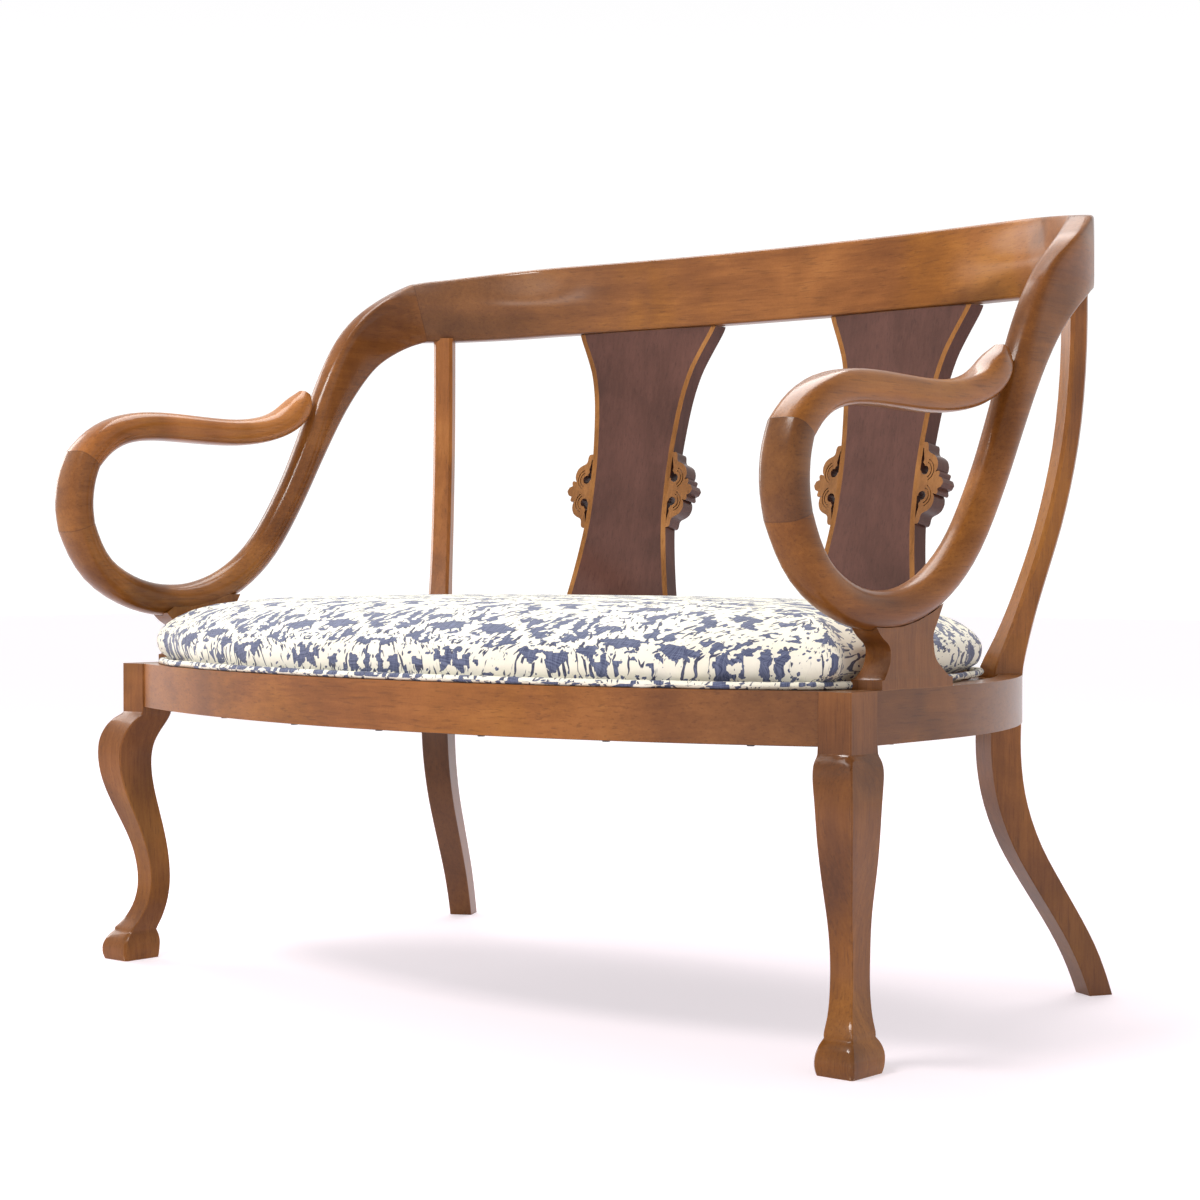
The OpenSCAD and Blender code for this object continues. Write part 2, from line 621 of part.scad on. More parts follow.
// Half widths of a splat between its waist (0) and its top (1), against its length from the seat.
splat_shares = [[0.00, 0.79], [0.09, 0.60], [0.19, 0.36], [0.30, 0.16], [0.395, 0.035], [0.473, 0.00],
                [0.56, 0.00], [0.65, 0.045], [0.77, 0.17], [0.855, 0.36], [0.913, 0.60], [0.978, 0.92],
                [1.00, 1.00]];
function splat_half(share_row, inset) =
    splat_waist_w / 2 + (splat_top_w - splat_waist_w) / 2 * share_row[1] - inset;
function splat_edge(inset) =
    [for (s = spline(splat_shares, outline_steps))
        [splat_half(s, inset), -splat_length * (1 - s[0])]];

// Outline of a splat, drawn past both ends so that level cuts can trim it.
module splat_outline(inset) {
    edge = splat_edge(inset);
    last = len(edge) - 1;
    spare = splat_total_t;
    right = concat([[edge[0][0], -splat_length - spare]], edge, [[edge[last][0], spare]]);
    polygon(concat(right, [for (k = [len(right) - 1 : -1 : 0]) [-right[k][0], right[k][1]]]));
}

// A slab of the splat's plane between two depths behind the front face of its panel.
module splat_slab(from_depth, to_depth, inset) {
    on_splat() translate([0, to_depth - splat_total_t / 2, 0]) rotate([90, 0, 0])
        linear_extrude(to_depth - from_depth) splat_outline(inset);
}
module between_levels(low, high) {
    reach = back_depth;
    intersection() {
        children();
        translate([0, 0, low]) cube([reach, 2 * reach, high - low]);
    }
}
module splat_tongues(room) {
    inset = 2 * bead_w;
    depth = (splat_total_t - tongue_t) / 2;
    for (level = [seat_h - tongue_l, crest_base - tongue_l])
        between_levels(level - room, level + 2 * tongue_l + room)
            splat_slab(depth - room, splat_total_t - depth + room, inset - room);
}

module splat(side) {
    color(wood) place() on_side(side) {
        difference() {
            between_levels(seat_h, crest_base) splat_slab(0, splat_total_t, 0);
            splat_slab(-over, panel_t, bead_w);
        }
        splat_tongues(0);
    }
}
module splat_left() { splat(-1); }
module splat_right() { splat(1); }

module splat_panel(side) {
    color(panel_wood) place() on_side(side)
        between_levels(seat_h, crest_base) splat_slab(0, panel_t, bead_w);
}
module splat_panel_left() { splat_panel(-1); }
module splat_panel_right() { splat_panel(1); }

// Carved fretwork at a splat's waist: scrolls round two eyes, a lobed tip, leaves above and below.
ornament_place_share = 0.498;
ornament_z = -splat_length * ornament_place_share;
ornament_edge_shares = [
    [0.07, 0.500], [0.17, 0.492], [0.22, 0.455], [0.23, 0.410], [0.29, 0.372], [0.46, 0.345], [0.62, 0.300],
    [0.70, 0.225], [0.68, 0.160], [0.63, 0.130], [0.76, 0.142], [0.82, 0.115], [0.79, 0.072],
    [0.92, 0.055], [1.00, 0.000]];
ornament_root_share = 0.30;
eye_shares = [0.19, 0.155, 0.150];
slot_shares = [
    [-0.30, 0.155], [0.19, 0.155], [0.16, 0.225], [0.09, 0.250], [0.12, 0.290],
    [0.08, 0.350], [0.04, 0.430], [-0.30, 0.430]];
groove_shares = [[0.25, 0.29], [0.35, 0.39]];
groove_reach_shares = [[0.00, 0.00], [0.30, 0.30], [0.55, 0.12], [0.55, -0.12], [0.30, -0.22]];
groove_depth = 1.2;
function ornament_point(share, up) = [ornament_w * share[0], ornament_h * share[1] * up];

module ornament_flat() {
    half = spline(ornament_edge_shares, 2);
    top = [for (s = half) ornament_point(s, 1)];
    bottom = [for (s = backward(half)) ornament_point(s, -1)];
    root = ornament_w * ornament_root_share;
    difference() {
        polygon(concat([[-root, ornament_h / 2]], top, bottom, [[-root, -ornament_h / 2]]));
        for (up = [-1, 1]) {
            translate(ornament_point(eye_shares, up)) circle(r = ornament_w * eye_shares[2], $fn = 32);
            polygon([for (s = slot_shares) ornament_point(s, up)]);
        }
    }
}

// Shallow grooves that follow an eye on its outer side.
module ornament_grooves() {
    for (up = [-1, 1]) translate(ornament_point(eye_shares, up)) intersection() {
        for (s = groove_shares) difference() {
            circle(r = ornament_w * s[1], $fn = 48);
            circle(r = ornament_w * s[0], $fn = 48);
        }
        polygon([for (s = groove_reach_shares) [ornament_w * s[0], ornament_h * s[1] * up]]);
    }
}
module ornament(side, reach_side) {
    color(carved) place() on_side(side) difference() {
        on_splat()
            translate([reach_side * splat_waist_w / 2, splat_total_t / 2, ornament_z])
            mirror([reach_side < 0 ? 1 : 0, 0, 0]) rotate([90, 0, 0]) difference() {
                linear_extrude(splat_total_t) ornament_flat();
                translate([0, 0, splat_total_t - groove_depth])
                    linear_extrude(groove_depth + over) ornament_grooves();
            }
        splat_slab(-over, splat_total_t + over, 0);
    }
}
module ornament_left_outer() { ornament(-1, 1); }
module ornament_left_inner() { ornament(-1, -1); }
module ornament_right_inner() { ornament(1, -1); }
module ornament_right_outer() { ornament(1, 1); }

// The slip seat: a wooden frame in the rails' rebates, webbing over it and the cushion on top.
frame_top = seat_h - rebate_h + frame_t;
module seat_frame() {
    front_inset = front_rail_t - rebate_w + fit;
    side_inset = side_rail_t - rebate_w + fit;
    rear_inset = rear_rail_t - rear_rebate_w + fit;
    color(beech) place() difference() {
        translate([0, 0, seat_h - rebate_h]) linear_extrude(frame_t) difference() {
            seat_area(front_inset, side_inset, rear_inset);
            seat_area(front_inset + frame_w, side_inset + frame_w, rear_inset + frame_w);
            for (side = [-1, 1]) on_side(side) post_plan(fit);
        }
        for (side = [-1, 1]) on_side(side) seat_screw_set(screw_d + 2 * fit);
    }
}
// Plan of the legs' blocks where they reach into the seat.
module post_plan(room) {
    translate([leg_inner - room, 0]) square([leg_w + 2 * room, leg_d + room]);
    translate([stile_x, stile_y]) rotate(-splay_deg)
        square([stile_w + 2 * room, stile_d + 2 * room], center = true);
}
web_grip_share = 0.4;
module web_area() {
    grip = frame_w * web_grip_share;
    seat_area(front_rail_t - rebate_w + frame_w - grip, side_rail_t - rebate_w + frame_w - grip,
              rear_rail_t - rear_rebate_w + frame_w - grip);
}
web_shift_share = 0.3;
long_straps = 6;
cross_straps = 10;
module seat_webbing_long() {
    pitch = (stile_y + front_bow) / (long_straps + 1);
    color(jute) place() translate([0, 0, frame_top]) linear_extrude(web_t) intersection() {
        web_area();
        for (k = [1 : long_straps])
            translate([-arm_x, rail_recess - front_bow + pitch * (k + web_shift_share) - web_w / 2])
                square([arm_span, web_w]);
    }
}
module seat_webbing_cross() {
    pitch = 2 * leg_inner / (cross_straps + 1);
    color(jute) place() translate([0, 0, frame_top + web_t]) linear_extrude(web_t) intersection() {
        web_area();
        for (k = [1 : cross_straps])
            translate([-leg_inner + pitch * k - web_w / 2, -front_bow]) square([web_w, back_depth]);
    }
}

// Plan of the cushion's foot on the right, from the middle of the front to the middle of the back.
cushion_front_inset_share = 0.3;
cushion_front_inset = front_rail_t * cushion_front_inset_share;
cushion_side_inset = side_rail_t + welt_d + 2 * soft_gap + over;
cushion_rear_inset = rear_rail_t / 2 + splat_total_t / 2 + welt_d + 2 * soft_gap + over;
cushion_front_shares = [0, 0.17, 0.34, 0.51, 0.68, 0.82];
cushion_corner_shares = [[0.935, 0.02], [1.010, 0.14], [1.032, 0.42], [1.004, 0.80], [0.990, 1.40]];
cushion_flank_shares = [0.02, 0.38, 0.66];
cushion_post_shares = [[0.78, -0.86], [-0.10, -1.02], [-0.85, -0.70]];
cushion_rear_shares = [0.80, 0.62, 0.42, 0.22];
cushion_half = [
    for (s = cushion_front_shares) [leg_inner * s, front_line(leg_inner * s, cushion_front_inset)],
    for (s = cushion_corner_shares)
        [(side_outer - cushion_side_inset) * s[0], front_line(leg_inner, cushion_front_inset) + leg_d * s[1]],
    for (s = cushion_flank_shares) side_arc(side_turn * s, cushion_side_inset),
    for (s = cushion_post_shares)
        stile_place + stile_across * (stile_w * s[0]) + stile_along * (stile_d * s[1]),
    for (s = cushion_rear_shares) [rear_end[0] * s, rear_line(rear_end[0] * s, cushion_rear_inset)]];
cushion_loop = concat(
    cushion_half,
    [[0, rear_line(0, cushion_rear_inset)]],
    [for (k = [len(cushion_half) - 1 : -1 : 1]) [-cushion_half[k][0], cushion_half[k][1]]]);
cushion_plan = closed_spline(cushion_loop, 1);

// Rows of the cushion from its foot to its crown: inset along X, inset along Y, and height share.
cushion_middle = (rear_y - front_bow) / 2;
cushion_rows = [
    [0.000, 0.000, 0.00], [0.000, 0.000, 0.09], [-0.012, -0.012, 0.20], [-0.018, -0.018, 0.33],
    [-0.012, -0.010, 0.46], [0.008, 0.025, 0.58], [0.035, 0.080, 0.70], [0.075, 0.155, 0.80],
    [0.145, 0.26, 0.88], [0.26, 0.40, 0.94], [0.43, 0.56, 0.975], [0.67, 0.76, 0.995]];
function cushion_ring(row) =
    [for (p = cushion_plan)
        [p[0] * (1 - row[0]), lerp(p[1], cushion_middle, row[1]),
         soft_gap + seat_h + cushion_h * row[2]]];
module seat_cushion() {
    color(cloth) place() loft([for (row = cushion_rows) cushion_ring(row)]);
}

// The welt lies on the rails round the foot of the cushion.
welt_sides = 6;
module seat_welt() {
    n = len(cushion_plan);
    color(cloth) place() ring_loft([for (i = [0 : n - 1])
        let (p = cushion_plan[i],
             t = unit(cushion_plan[(i + 1) % n] - cushion_plan[(i + n - 1) % n]),
             out = [t[1], -t[0]],
             c = p + out * (welt_d / 2 + soft_gap))
        [for (k = [0 : welt_sides - 1])
            let (turn = -360 * (k + 1 / 2) / welt_sides)
            [each c + out * (welt_d / 2 * cos(turn)), seat_h + soft_gap + welt_d / 2 * (1 + sin(turn))]]]);
}

// A dowel, or the bore for one where the diameter is larger.
module dowel_rod(d) {
    cylinder(d = d, h = d == dowel_d ? dowel_l : dowel_l + 2 * fit, center = true, $fn = 32);
}
module dowel(place_xyz, turn, d) {
    translate(place_xyz) rotate([0, 90, turn]) dowel_rod(d);
}
front_dowel_shares = [0.20, 0.50];
side_dowel_shares = [0.28, 0.66];
stile_dowel_shares = [0.22, 0.76];
rear_dowel_share = 0.49;
module rail_dowel_set(d) {
    for (s = front_dowel_shares)
        dowel([leg_inner, front_line(leg_inner, front_rail_t / 2), rail_base + rail_h * s], 0, d);
    for (s = side_dowel_shares)
        dowel([side_outer - side_rail_t / 2, leg_d, rail_base + rail_h * s], 90, d);
    for (s = stile_dowel_shares)
        dowel([each stile_place + stile_across * stile_w / 2, rail_base + rail_h * s], -splay_deg, d);
    dowel([each stile_place - stile_across * stile_w / 2, rail_base + rail_h * rear_dowel_share],
          -splay_deg, d);
}
module dowel_bores() {
    rail_dowel_set(dowel_d + 2 * fit);
}
module rail_dowels() {
    color(beech) place() for (side = [-1, 1]) on_side(side) rail_dowel_set(dowel_d);
}

// The dowel that joins a rear leg's top to the crest rail.
module crest_dowel(d) {
    translate([each corner_place(stile_turn, stile_step / 2), crest_base]) dowel_rod(d);
}
module crest_dowels() {
    color(beech) place() for (side = [-1, 1]) on_side(side) crest_dowel(dowel_d);
}

// Dowels through the glued seams along an arm.
module seam_dowel(i, d) {
    t = heading(i);
    translate(place_of(half_path[i])) rotate([0, acos(t[2]), atan2(t[1], t[0])]) dowel_rod(d);
}
module arm_dowels() {
    color(beech) place() for (side = [-1, 1], i = [crest_count, front_first, front_last])
        on_side(side) seam_dowel(i, dowel_d);
}

// Dowels that stand in a side rail and hold up a pedestal, and one between pedestal and arm.
pedestal_dowel_shares = [-0.28, 0.25];
module pedestal_dowel_set(d) {
    for (s = pedestal_dowel_shares)
        translate([pedestal_x, pedestal_y + pedestal_l * s, seat_h]) dowel_rod(d);
    translate([(pedestal_x + arm_x) / 2, back_depth * arm_seat_share[0],
               seat_h + rise * arm_seat_share[1] - half_arm]) dowel_rod(d);
}
module pedestal_dowels() {
    color(beech) place() for (side = [-1, 1]) on_side(side) pedestal_dowel_set(dowel_d);
}

// Corner blocks stand under the seat frame and carry its screws.
screw_head_h = 3;
screw_head_d = 2 * screw_d;
block_base = rail_base + screw_head_h + fit;
block_corner = [side_outer - side_rail_t, front_line(leg_inner, front_rail_t)];
block_spot = block_corner + [-1, 1] * (block_l - block_t / 2) * sqrt(1 / 2);
rear_block_spot = stile_place - stile_along * (stile_d + block_t) / 2;
module block_prism() {
    translate([0, 0, block_base]) linear_extrude(seat_h - rebate_h - block_base) intersection() {
        difference() {
            seat_area(front_rail_t, side_rail_t, rear_rail_t);
            post_plan(0);
        }
        children();
    }
}
module corner_blocks_front() {
    color(beech) place() for (side = [-1, 1]) on_side(side) difference() {
        block_prism() translate(block_spot) rotate(45) square([4 * block_l, block_t], center = true);
        seat_screw_set(screw_d + 2 * fit);
    }
}
module corner_blocks_rear() {
    color(beech) place() for (side = [-1, 1]) on_side(side) difference() {
        block_prism() translate(rear_block_spot) rotate(-splay_deg)
            square([4 * block_l, block_t], center = true);
        seat_screw_set(screw_d + 2 * fit);
    }
}

// Screws that come up through the corner blocks into the seat frame.
module seat_screw_set(d) {
    for (spot = [block_spot, rear_block_spot])
        translate([each spot, block_base]) {
            cylinder(d = d, h = screw_l, $fn = 24);
            translate([0, 0, -screw_head_h]) cylinder(d = screw_head_d, h = screw_head_h, $fn = 24);
        }
}
module seat_screws() {
    color(steel) place() for (side = [-1, 1]) on_side(side) seat_screw_set(screw_d);
}

// The dust cover under the rails, and the tacks that hold it.
cover_inset = 8;
front_tack_shares = [-0.86, -0.57, -0.28, 0, 0.28, 0.57, 0.86];
side_tack_share = 0.45;
flank_tack_shares = [0.30, 0.72];
rear_tack_shares = [-0.70, -0.35, 0, 0.35, 0.70];
tack_shank_l = 8;
tack_head_t = 1.2;
tack_shank_d = 1.8;
tack_spots = concat(
    [for (s = front_tack_shares) [leg_inner * s, front_line(leg_inner * s, front_rail_t / 2)]],
    [for (side = [-1, 1]) [side * (side_outer - side_rail_t / 2), lerp(leg_d, side_y, side_tack_share)]],
    [for (side = [-1, 1], s = flank_tack_shares)
        let (p = side_arc(side_turn * s, side_rail_t / 2)) [side * p[0], p[1]]],
    [for (s = rear_tack_shares) [rear_end[0] * s, rear_line(rear_end[0] * s, rear_rail_t / 2)]]);
module tack_shanks() {
    for (p = tack_spots)
        translate([each p, rail_base - cover_t - over])
            cylinder(d = tack_shank_d + fit, h = tack_shank_l + cover_t + over + fit, $fn = 16);
}
module dust_cover() {
    color(black) place() difference() {
        translate([0, 0, rail_base - cover_t]) linear_extrude(cover_t) difference() {
            seat_area(cover_inset, cover_inset, cover_inset);
            for (side = [-1, 1]) on_side(side) post_plan(soft_gap);
        }
        tack_shanks();
    }
}
module dust_cover_tacks() {
    color(steel) place() for (p = tack_spots) {
        translate([each p, rail_base - cover_t - tack_head_t])
            cylinder(d = tack_d, h = tack_head_t, $fn = 16);
        translate([each p, rail_base - cover_t])
            cylinder(d = tack_shank_d, h = cover_t + tack_shank_l, $fn = 16);
    }
}

front_leg_left();
front_leg_right();
rear_leg_left();
rear_leg_right();
front_seat_rail();
side_seat_rail_left();
side_seat_rail_right();
rear_seat_rail();
crest_rail();
arm_sweep_left();
arm_sweep_right();
arm_front_left();
arm_front_right();
arm_scroll_left();
arm_scroll_right();
arm_pedestal_left();
arm_pedestal_right();
splat_left();
splat_right();
splat_panel_left();
splat_panel_right();
ornament_left_outer();
ornament_left_inner();
ornament_right_inner();
ornament_right_outer();
seat_frame();
seat_webbing_long();
seat_webbing_cross();
seat_cushion();
seat_welt();
corner_blocks_front();
corner_blocks_rear();
seat_screws();
rail_dowels();
crest_dowels();
arm_dowels();
pedestal_dowels();
dust_cover();
dust_cover_tacks();
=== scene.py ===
import math

import bmesh
import bpy
import numpy as np
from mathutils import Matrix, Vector


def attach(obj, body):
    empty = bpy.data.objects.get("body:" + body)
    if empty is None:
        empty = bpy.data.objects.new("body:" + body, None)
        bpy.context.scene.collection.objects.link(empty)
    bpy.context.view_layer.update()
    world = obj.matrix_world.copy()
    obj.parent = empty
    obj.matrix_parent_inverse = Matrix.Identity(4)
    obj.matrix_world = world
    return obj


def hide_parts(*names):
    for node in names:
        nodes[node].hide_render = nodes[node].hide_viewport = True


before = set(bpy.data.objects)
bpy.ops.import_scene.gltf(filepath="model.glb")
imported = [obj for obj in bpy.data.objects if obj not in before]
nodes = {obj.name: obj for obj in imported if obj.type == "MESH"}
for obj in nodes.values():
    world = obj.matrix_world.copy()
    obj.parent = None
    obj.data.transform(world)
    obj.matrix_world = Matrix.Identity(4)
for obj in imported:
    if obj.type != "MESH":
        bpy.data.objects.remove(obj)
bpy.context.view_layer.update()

scene = bpy.context.scene

MM = 0.001
SEAT_H = 0.380


# Camera at the photograph's place
camera_data = bpy.data.cameras.new("Camera")
camera_data.sensor_width = 36
camera_data.lens = 74.145
camera = bpy.data.objects.new("Camera", camera_data)
camera.location = (1.9673, -2.30035, 0.508)
camera.rotation_euler = (math.radians(89.153), 0, math.radians(40.58))
scene.collection.objects.link(camera)
scene.camera = camera
scene.view_settings.view_transform = "Standard"


# Places of the four colours of a wood's stain on its ramp
STAIN_PLACES = (0.32, 0.46, 0.58, 0.76)


# Node helpers
class Shader:
    """A material's node tree, with short calls for the nodes used here."""

    def __init__(self, name):
        self.material = bpy.data.materials.new(name)
        self.material.use_nodes = True
        self.tree = self.material.node_tree
        self.tree.nodes.clear()
        out = self.tree.nodes.new("ShaderNodeOutputMaterial")
        self.body = self.add("ShaderNodeBsdfPrincipled")
        self.link(self.body.outputs[0], out.inputs[0])

    def add(self, kind, inputs=None, **settings):
        node = self.tree.nodes.new(kind)
        for key, value in settings.items():
            setattr(node, key, value)
        for key, value in (inputs or {}).items():
            self.put(node.inputs[key], value)
        return node

    def put(self, socket, value):
        if isinstance(value, bpy.types.NodeSocket):
            self.link(value, socket)
        else:
            socket.default_value = value

    def link(self, start, end):
        self.tree.links.new(start, end)

    def set(self, **inputs):
        """Sets or links the shader's own sockets, with _ for each space in a socket's name."""
        for key, value in inputs.items():
            self.put(self.body.inputs[key.replace("_", " ")], value)

    def math(self, operation, a, b=0.0):
        return self.add("ShaderNodeMath", {0: a, 1: b}, operation=operation).outputs[0]

    def sum(self, first, *others):
        for other in others:
            first = self.math("ADD", first, other)
        return first

    def times(self, a, b):
        return self.math("MULTIPLY", a, b)

    def swing(self, value, size):
        """A noise's distance from its mean, times size."""
        return self.times(self.math("SUBTRACT", value, 0.5), size)

    def span(self, value, low, high, to_low=0.0, to_high=1.0):
        node = self.add("ShaderNodeMapRange", {0: value, 1: low, 2: high, 3: to_low, 4: to_high})
        node.interpolation_type = "SMOOTHSTEP"
        return node.outputs[0]

    def ramp(self, value, colours):
        node = self.add("ShaderNodeValToRGB", {0: value})
        ramp = node.color_ramp
        while len(ramp.elements) < len(colours):
            ramp.elements.new(0.5)
        for element, place, colour in zip(ramp.elements, STAIN_PLACES, colours):
            element.position = place
            element.color = (*colour, 1)
        return node.outputs[0]

    def mix(self, share, a, b):
        node = self.add("ShaderNodeMix", data_type="RGBA")
        for socket, value in ((node.inputs[0], share), (node.inputs[6], a), (node.inputs[7], b)):
            if isinstance(value, tuple) and len(value) == 3:
                value = (*value, 1)
            self.put(socket, value)
        return node.outputs[2]

    def place(self, scale=(1, 1, 1), shift=(0, 0, 0), source=None):
        source = source or self.add("ShaderNodeTexCoord").outputs["Object"]
        return self.add("ShaderNodeMapping", {"Vector": source, "Scale": scale, "Location": shift}).outputs[0]

    def noise(self, where, scale, detail=3.0, roughness=0.5, distortion=0.0):
        node = self.add("ShaderNodeTexNoise", {"Vector": where, "Scale": scale, "Detail": detail,
                                               "Roughness": roughness, "Distortion": distortion})
        return node.outputs["Fac"]

    def threads(self, where, pitch, distortion, detail, detail_scale):
        """Bands along X and along Y, as the threads of a weave."""
        inputs = {"Vector": where, "Scale": pitch, "Distortion": distortion, "Detail": detail,
                  "Detail Scale": detail_scale}
        return [self.add("ShaderNodeTexWave", inputs, wave_type="BANDS", bands_direction=way).outputs["Fac"]
                for way in ("X", "Y")]

    def bump(self, height, strength, distance, normal=None):
        node = self.add("ShaderNodeBump", {"Height": height, "Strength": strength, "Distance": distance})
        if normal is not None:
            self.link(normal, node.inputs["Normal"])
        return node.outputs[0]


def metal(name):
    """Blackened steel, duller where it is rubbed less."""
    s = Shader(name)
    spots = s.noise(s.place(), 500, 3)
    s.set(Base_Color=s.mix(spots, (0.05, 0.048, 0.045), (0.16, 0.15, 0.14)),
          Roughness=s.span(spots, 0.3, 0.7, 0.3, 0.55), Metallic=1.0, Normal=s.bump(spots, 0.2, 0.1 * MM))
    return s.material


# Scale of the noise along each grain axis, and the colours laid over the stain: seams, wear and chips, then three of
# painted shade
GRAIN_SCALES = {"X": (0.06, 1, 1), "Y": (1, 0.06, 1), "Z": (1, 1, 0.06)}
SEAM, WORN, CHIPPED = (0.045, 0.016, 0.006), (0.40, 0.17, 0.050), (0.58, 0.38, 0.20)
PAINTED_UNDERSIDE_SHADE, SHADED, PAINTED_END_SHADE = (0.030, 0.012, 0.006), (0.020, 0.009, 0.005), (0.030, 0.020, 0.016)
# Height of the crest rail's middle, half its height, where its corners begin and end, and how far they bulge
CREST_MIDDLE, CREST_HALF, CREST_CORNERS, CREST_ROLL = 0.874, 0.056, (0.27, 0.43), 26 * MM


def wood(name, grain, tones, seed, gloss=0.34, gold=0.7, sides=None, joints=False, shade=None, end_shade=None, coat=0.42):
    """Stained and lacquered show wood, its grain along one axis.

    Golden clouds (gold), a dark glaze, flecks and pores vary the stain. Arrises are rubbed, or seams where joints is
    set, and feet are chipped. sides colours the flanks, shade darkens a leg below the rails by its shares at the top
    and the foot, and dim is painted shade along X, from, to and by how much. Faces that look down get painted shade.
    A coat of four numbers changes along X.
    """
    s = Shader(name)
    grained = s.place(scale=GRAIN_SCALES[grain], shift=(seed, seed * 1.7, seed * 0.6))
    plain = s.place(shift=(seed * 2.1, seed, seed * 1.3))
    figure = s.noise(grained, 34, 6, 0.62, 0.6)
    cloud = s.noise(plain, 6.5, 4, 0.55, 0.4)
    fine = s.noise(grained, 250, 4, 0.6)
    speck = s.noise(plain, 420, 2, 0.5)
    normals = s.add("ShaderNodeNewGeometry").outputs["Normal"]
    facing = s.add("ShaderNodeSeparateXYZ", {0: normals}).outputs
    spot = s.add("ShaderNodeSeparateXYZ", {0: s.add("ShaderNodeTexCoord").outputs["Object"]}).outputs

    # Stain, golden clouds, glaze and pores
    tone = s.sum(s.times(figure, 0.34), s.times(cloud, 0.70), s.swing(fine, 0.24), s.swing(speck, 0.10))
    colour = s.ramp(tone, tones)
    golden = s.span(s.noise(plain, 4.2, 3, 0.5, 0.5), 0.47, 0.64)
    colour = s.mix(s.times(golden, gold), colour, s.ramp(tone, GOLD))
    glaze = s.span(s.noise(plain, 5.2, 3, 0.5, 0.7), 0.54, 0.70, 0.0, 0.55 if joints else 0.30)
    colour = s.mix(glaze, colour, tuple(c * 0.42 for c in tones[0]))
    if sides:
        flank = s.span(s.math("ABSOLUTE", facing[1]), 0.80, 0.45)
        colour = s.mix(flank, colour, s.ramp(tone, sides))
    pore = s.span(s.noise(grained, 520, 2, 0.5), 0.58, 0.68)
    colour = s.mix(s.times(pore, 0.30), colour, tuple(c * 0.4 for c in tones[0]))

    # Arrises, seams and chipped feet, and painted shade on undersides, on legs below the rails and towards one end
    rounded = s.add("ShaderNodeBevel", {"Radius": 1.6 * MM}, samples=4).outputs[0]
    flat = s.add("ShaderNodeVectorMath", {0: rounded, 1: normals}, operation="DOT_PRODUCT").outputs["Value"]
    arris = s.span(flat, 0.985, 0.88)
    if joints:
        colour = s.mix(s.times(arris, 0.75), colour, SEAM)
    else:
        rubbed = s.times(arris, s.span(s.noise(plain, 38, 4, 0.6), 0.40, 0.62))
        colour = s.mix(s.times(rubbed, 0.35), colour, WORN)
    chip = s.times(s.span(spot[2], 0.020, 0.006), s.span(s.noise(plain, 55, 2, 0.5), 0.50, 0.56))
    colour = s.mix(s.times(chip, s.span(flat, 0.97, 0.90)), colour, CHIPPED)
    # Painted shade: faces that look down are darker
    colour = s.mix(s.span(facing[2], -0.1, -0.9, 0.0, 0.35), colour, PAINTED_UNDERSIDE_SHADE)
    if shade:
        top_share, foot_share = shade
        deep = s.times(s.span(spot[2], 0.46, 0.34), s.span(spot[2], 0.05, 0.30, foot_share, top_share))
        colour = s.mix(deep, colour, SHADED)
    # Painted shade, darker towards one end along X
    if end_shade:
        start, end, most = end_shade
        colour = s.mix(s.span(spot[0], start, end, 0.0, most), colour, PAINTED_END_SHADE)

    # Lacquer, pores that show in the light, and the crest rail's rolled corners
    normal = s.bump(s.sum(pore, s.times(fine, -0.6)), 0.12, 0.3 * MM)
    if joints:
        level = s.math("ABSOLUTE", s.times(s.math("SUBTRACT", spot[2], CREST_MIDDLE), 1 / CREST_HALF))
        corners = s.span(s.math("ABSOLUTE", spot[0]), *CREST_CORNERS)
        normal = s.bump(s.times(s.span(level, 1.0, 0.0), corners), 1.0, CREST_ROLL, normal)
    normal = s.bump(s.noise(plain, 26, 3, 0.5), 0.12, 1.5 * MM, normal)
    s.set(Base_Color=colour, Roughness=s.sum(gloss, s.swing(cloud, 0.22), s.swing(figure, 0.10)),
          Specular_IOR_Level=0.12, Coat_Weight=s.span(spot[0], *coat) if isinstance(coat, tuple) else coat,
          Coat_Roughness=0.13, Normal=normal)
    return s.material


BROWN = [(0.115, 0.037, 0.008), (0.170, 0.057, 0.012), (0.230, 0.082, 0.018), (0.310, 0.122, 0.030)]
GOLD = [(0.150, 0.048, 0.005), (0.215, 0.073, 0.007), (0.290, 0.107, 0.011), (0.380, 0.155, 0.022)]
DARK = [(0.052, 0.018, 0.012), (0.075, 0.027, 0.018), (0.098, 0.037, 0.026), (0.130, 0.052, 0.037)]
OCHRE = [(0.140, 0.053, 0.012), (0.225, 0.090, 0.022), (0.310, 0.132, 0.036), (0.420, 0.195, 0.062)]

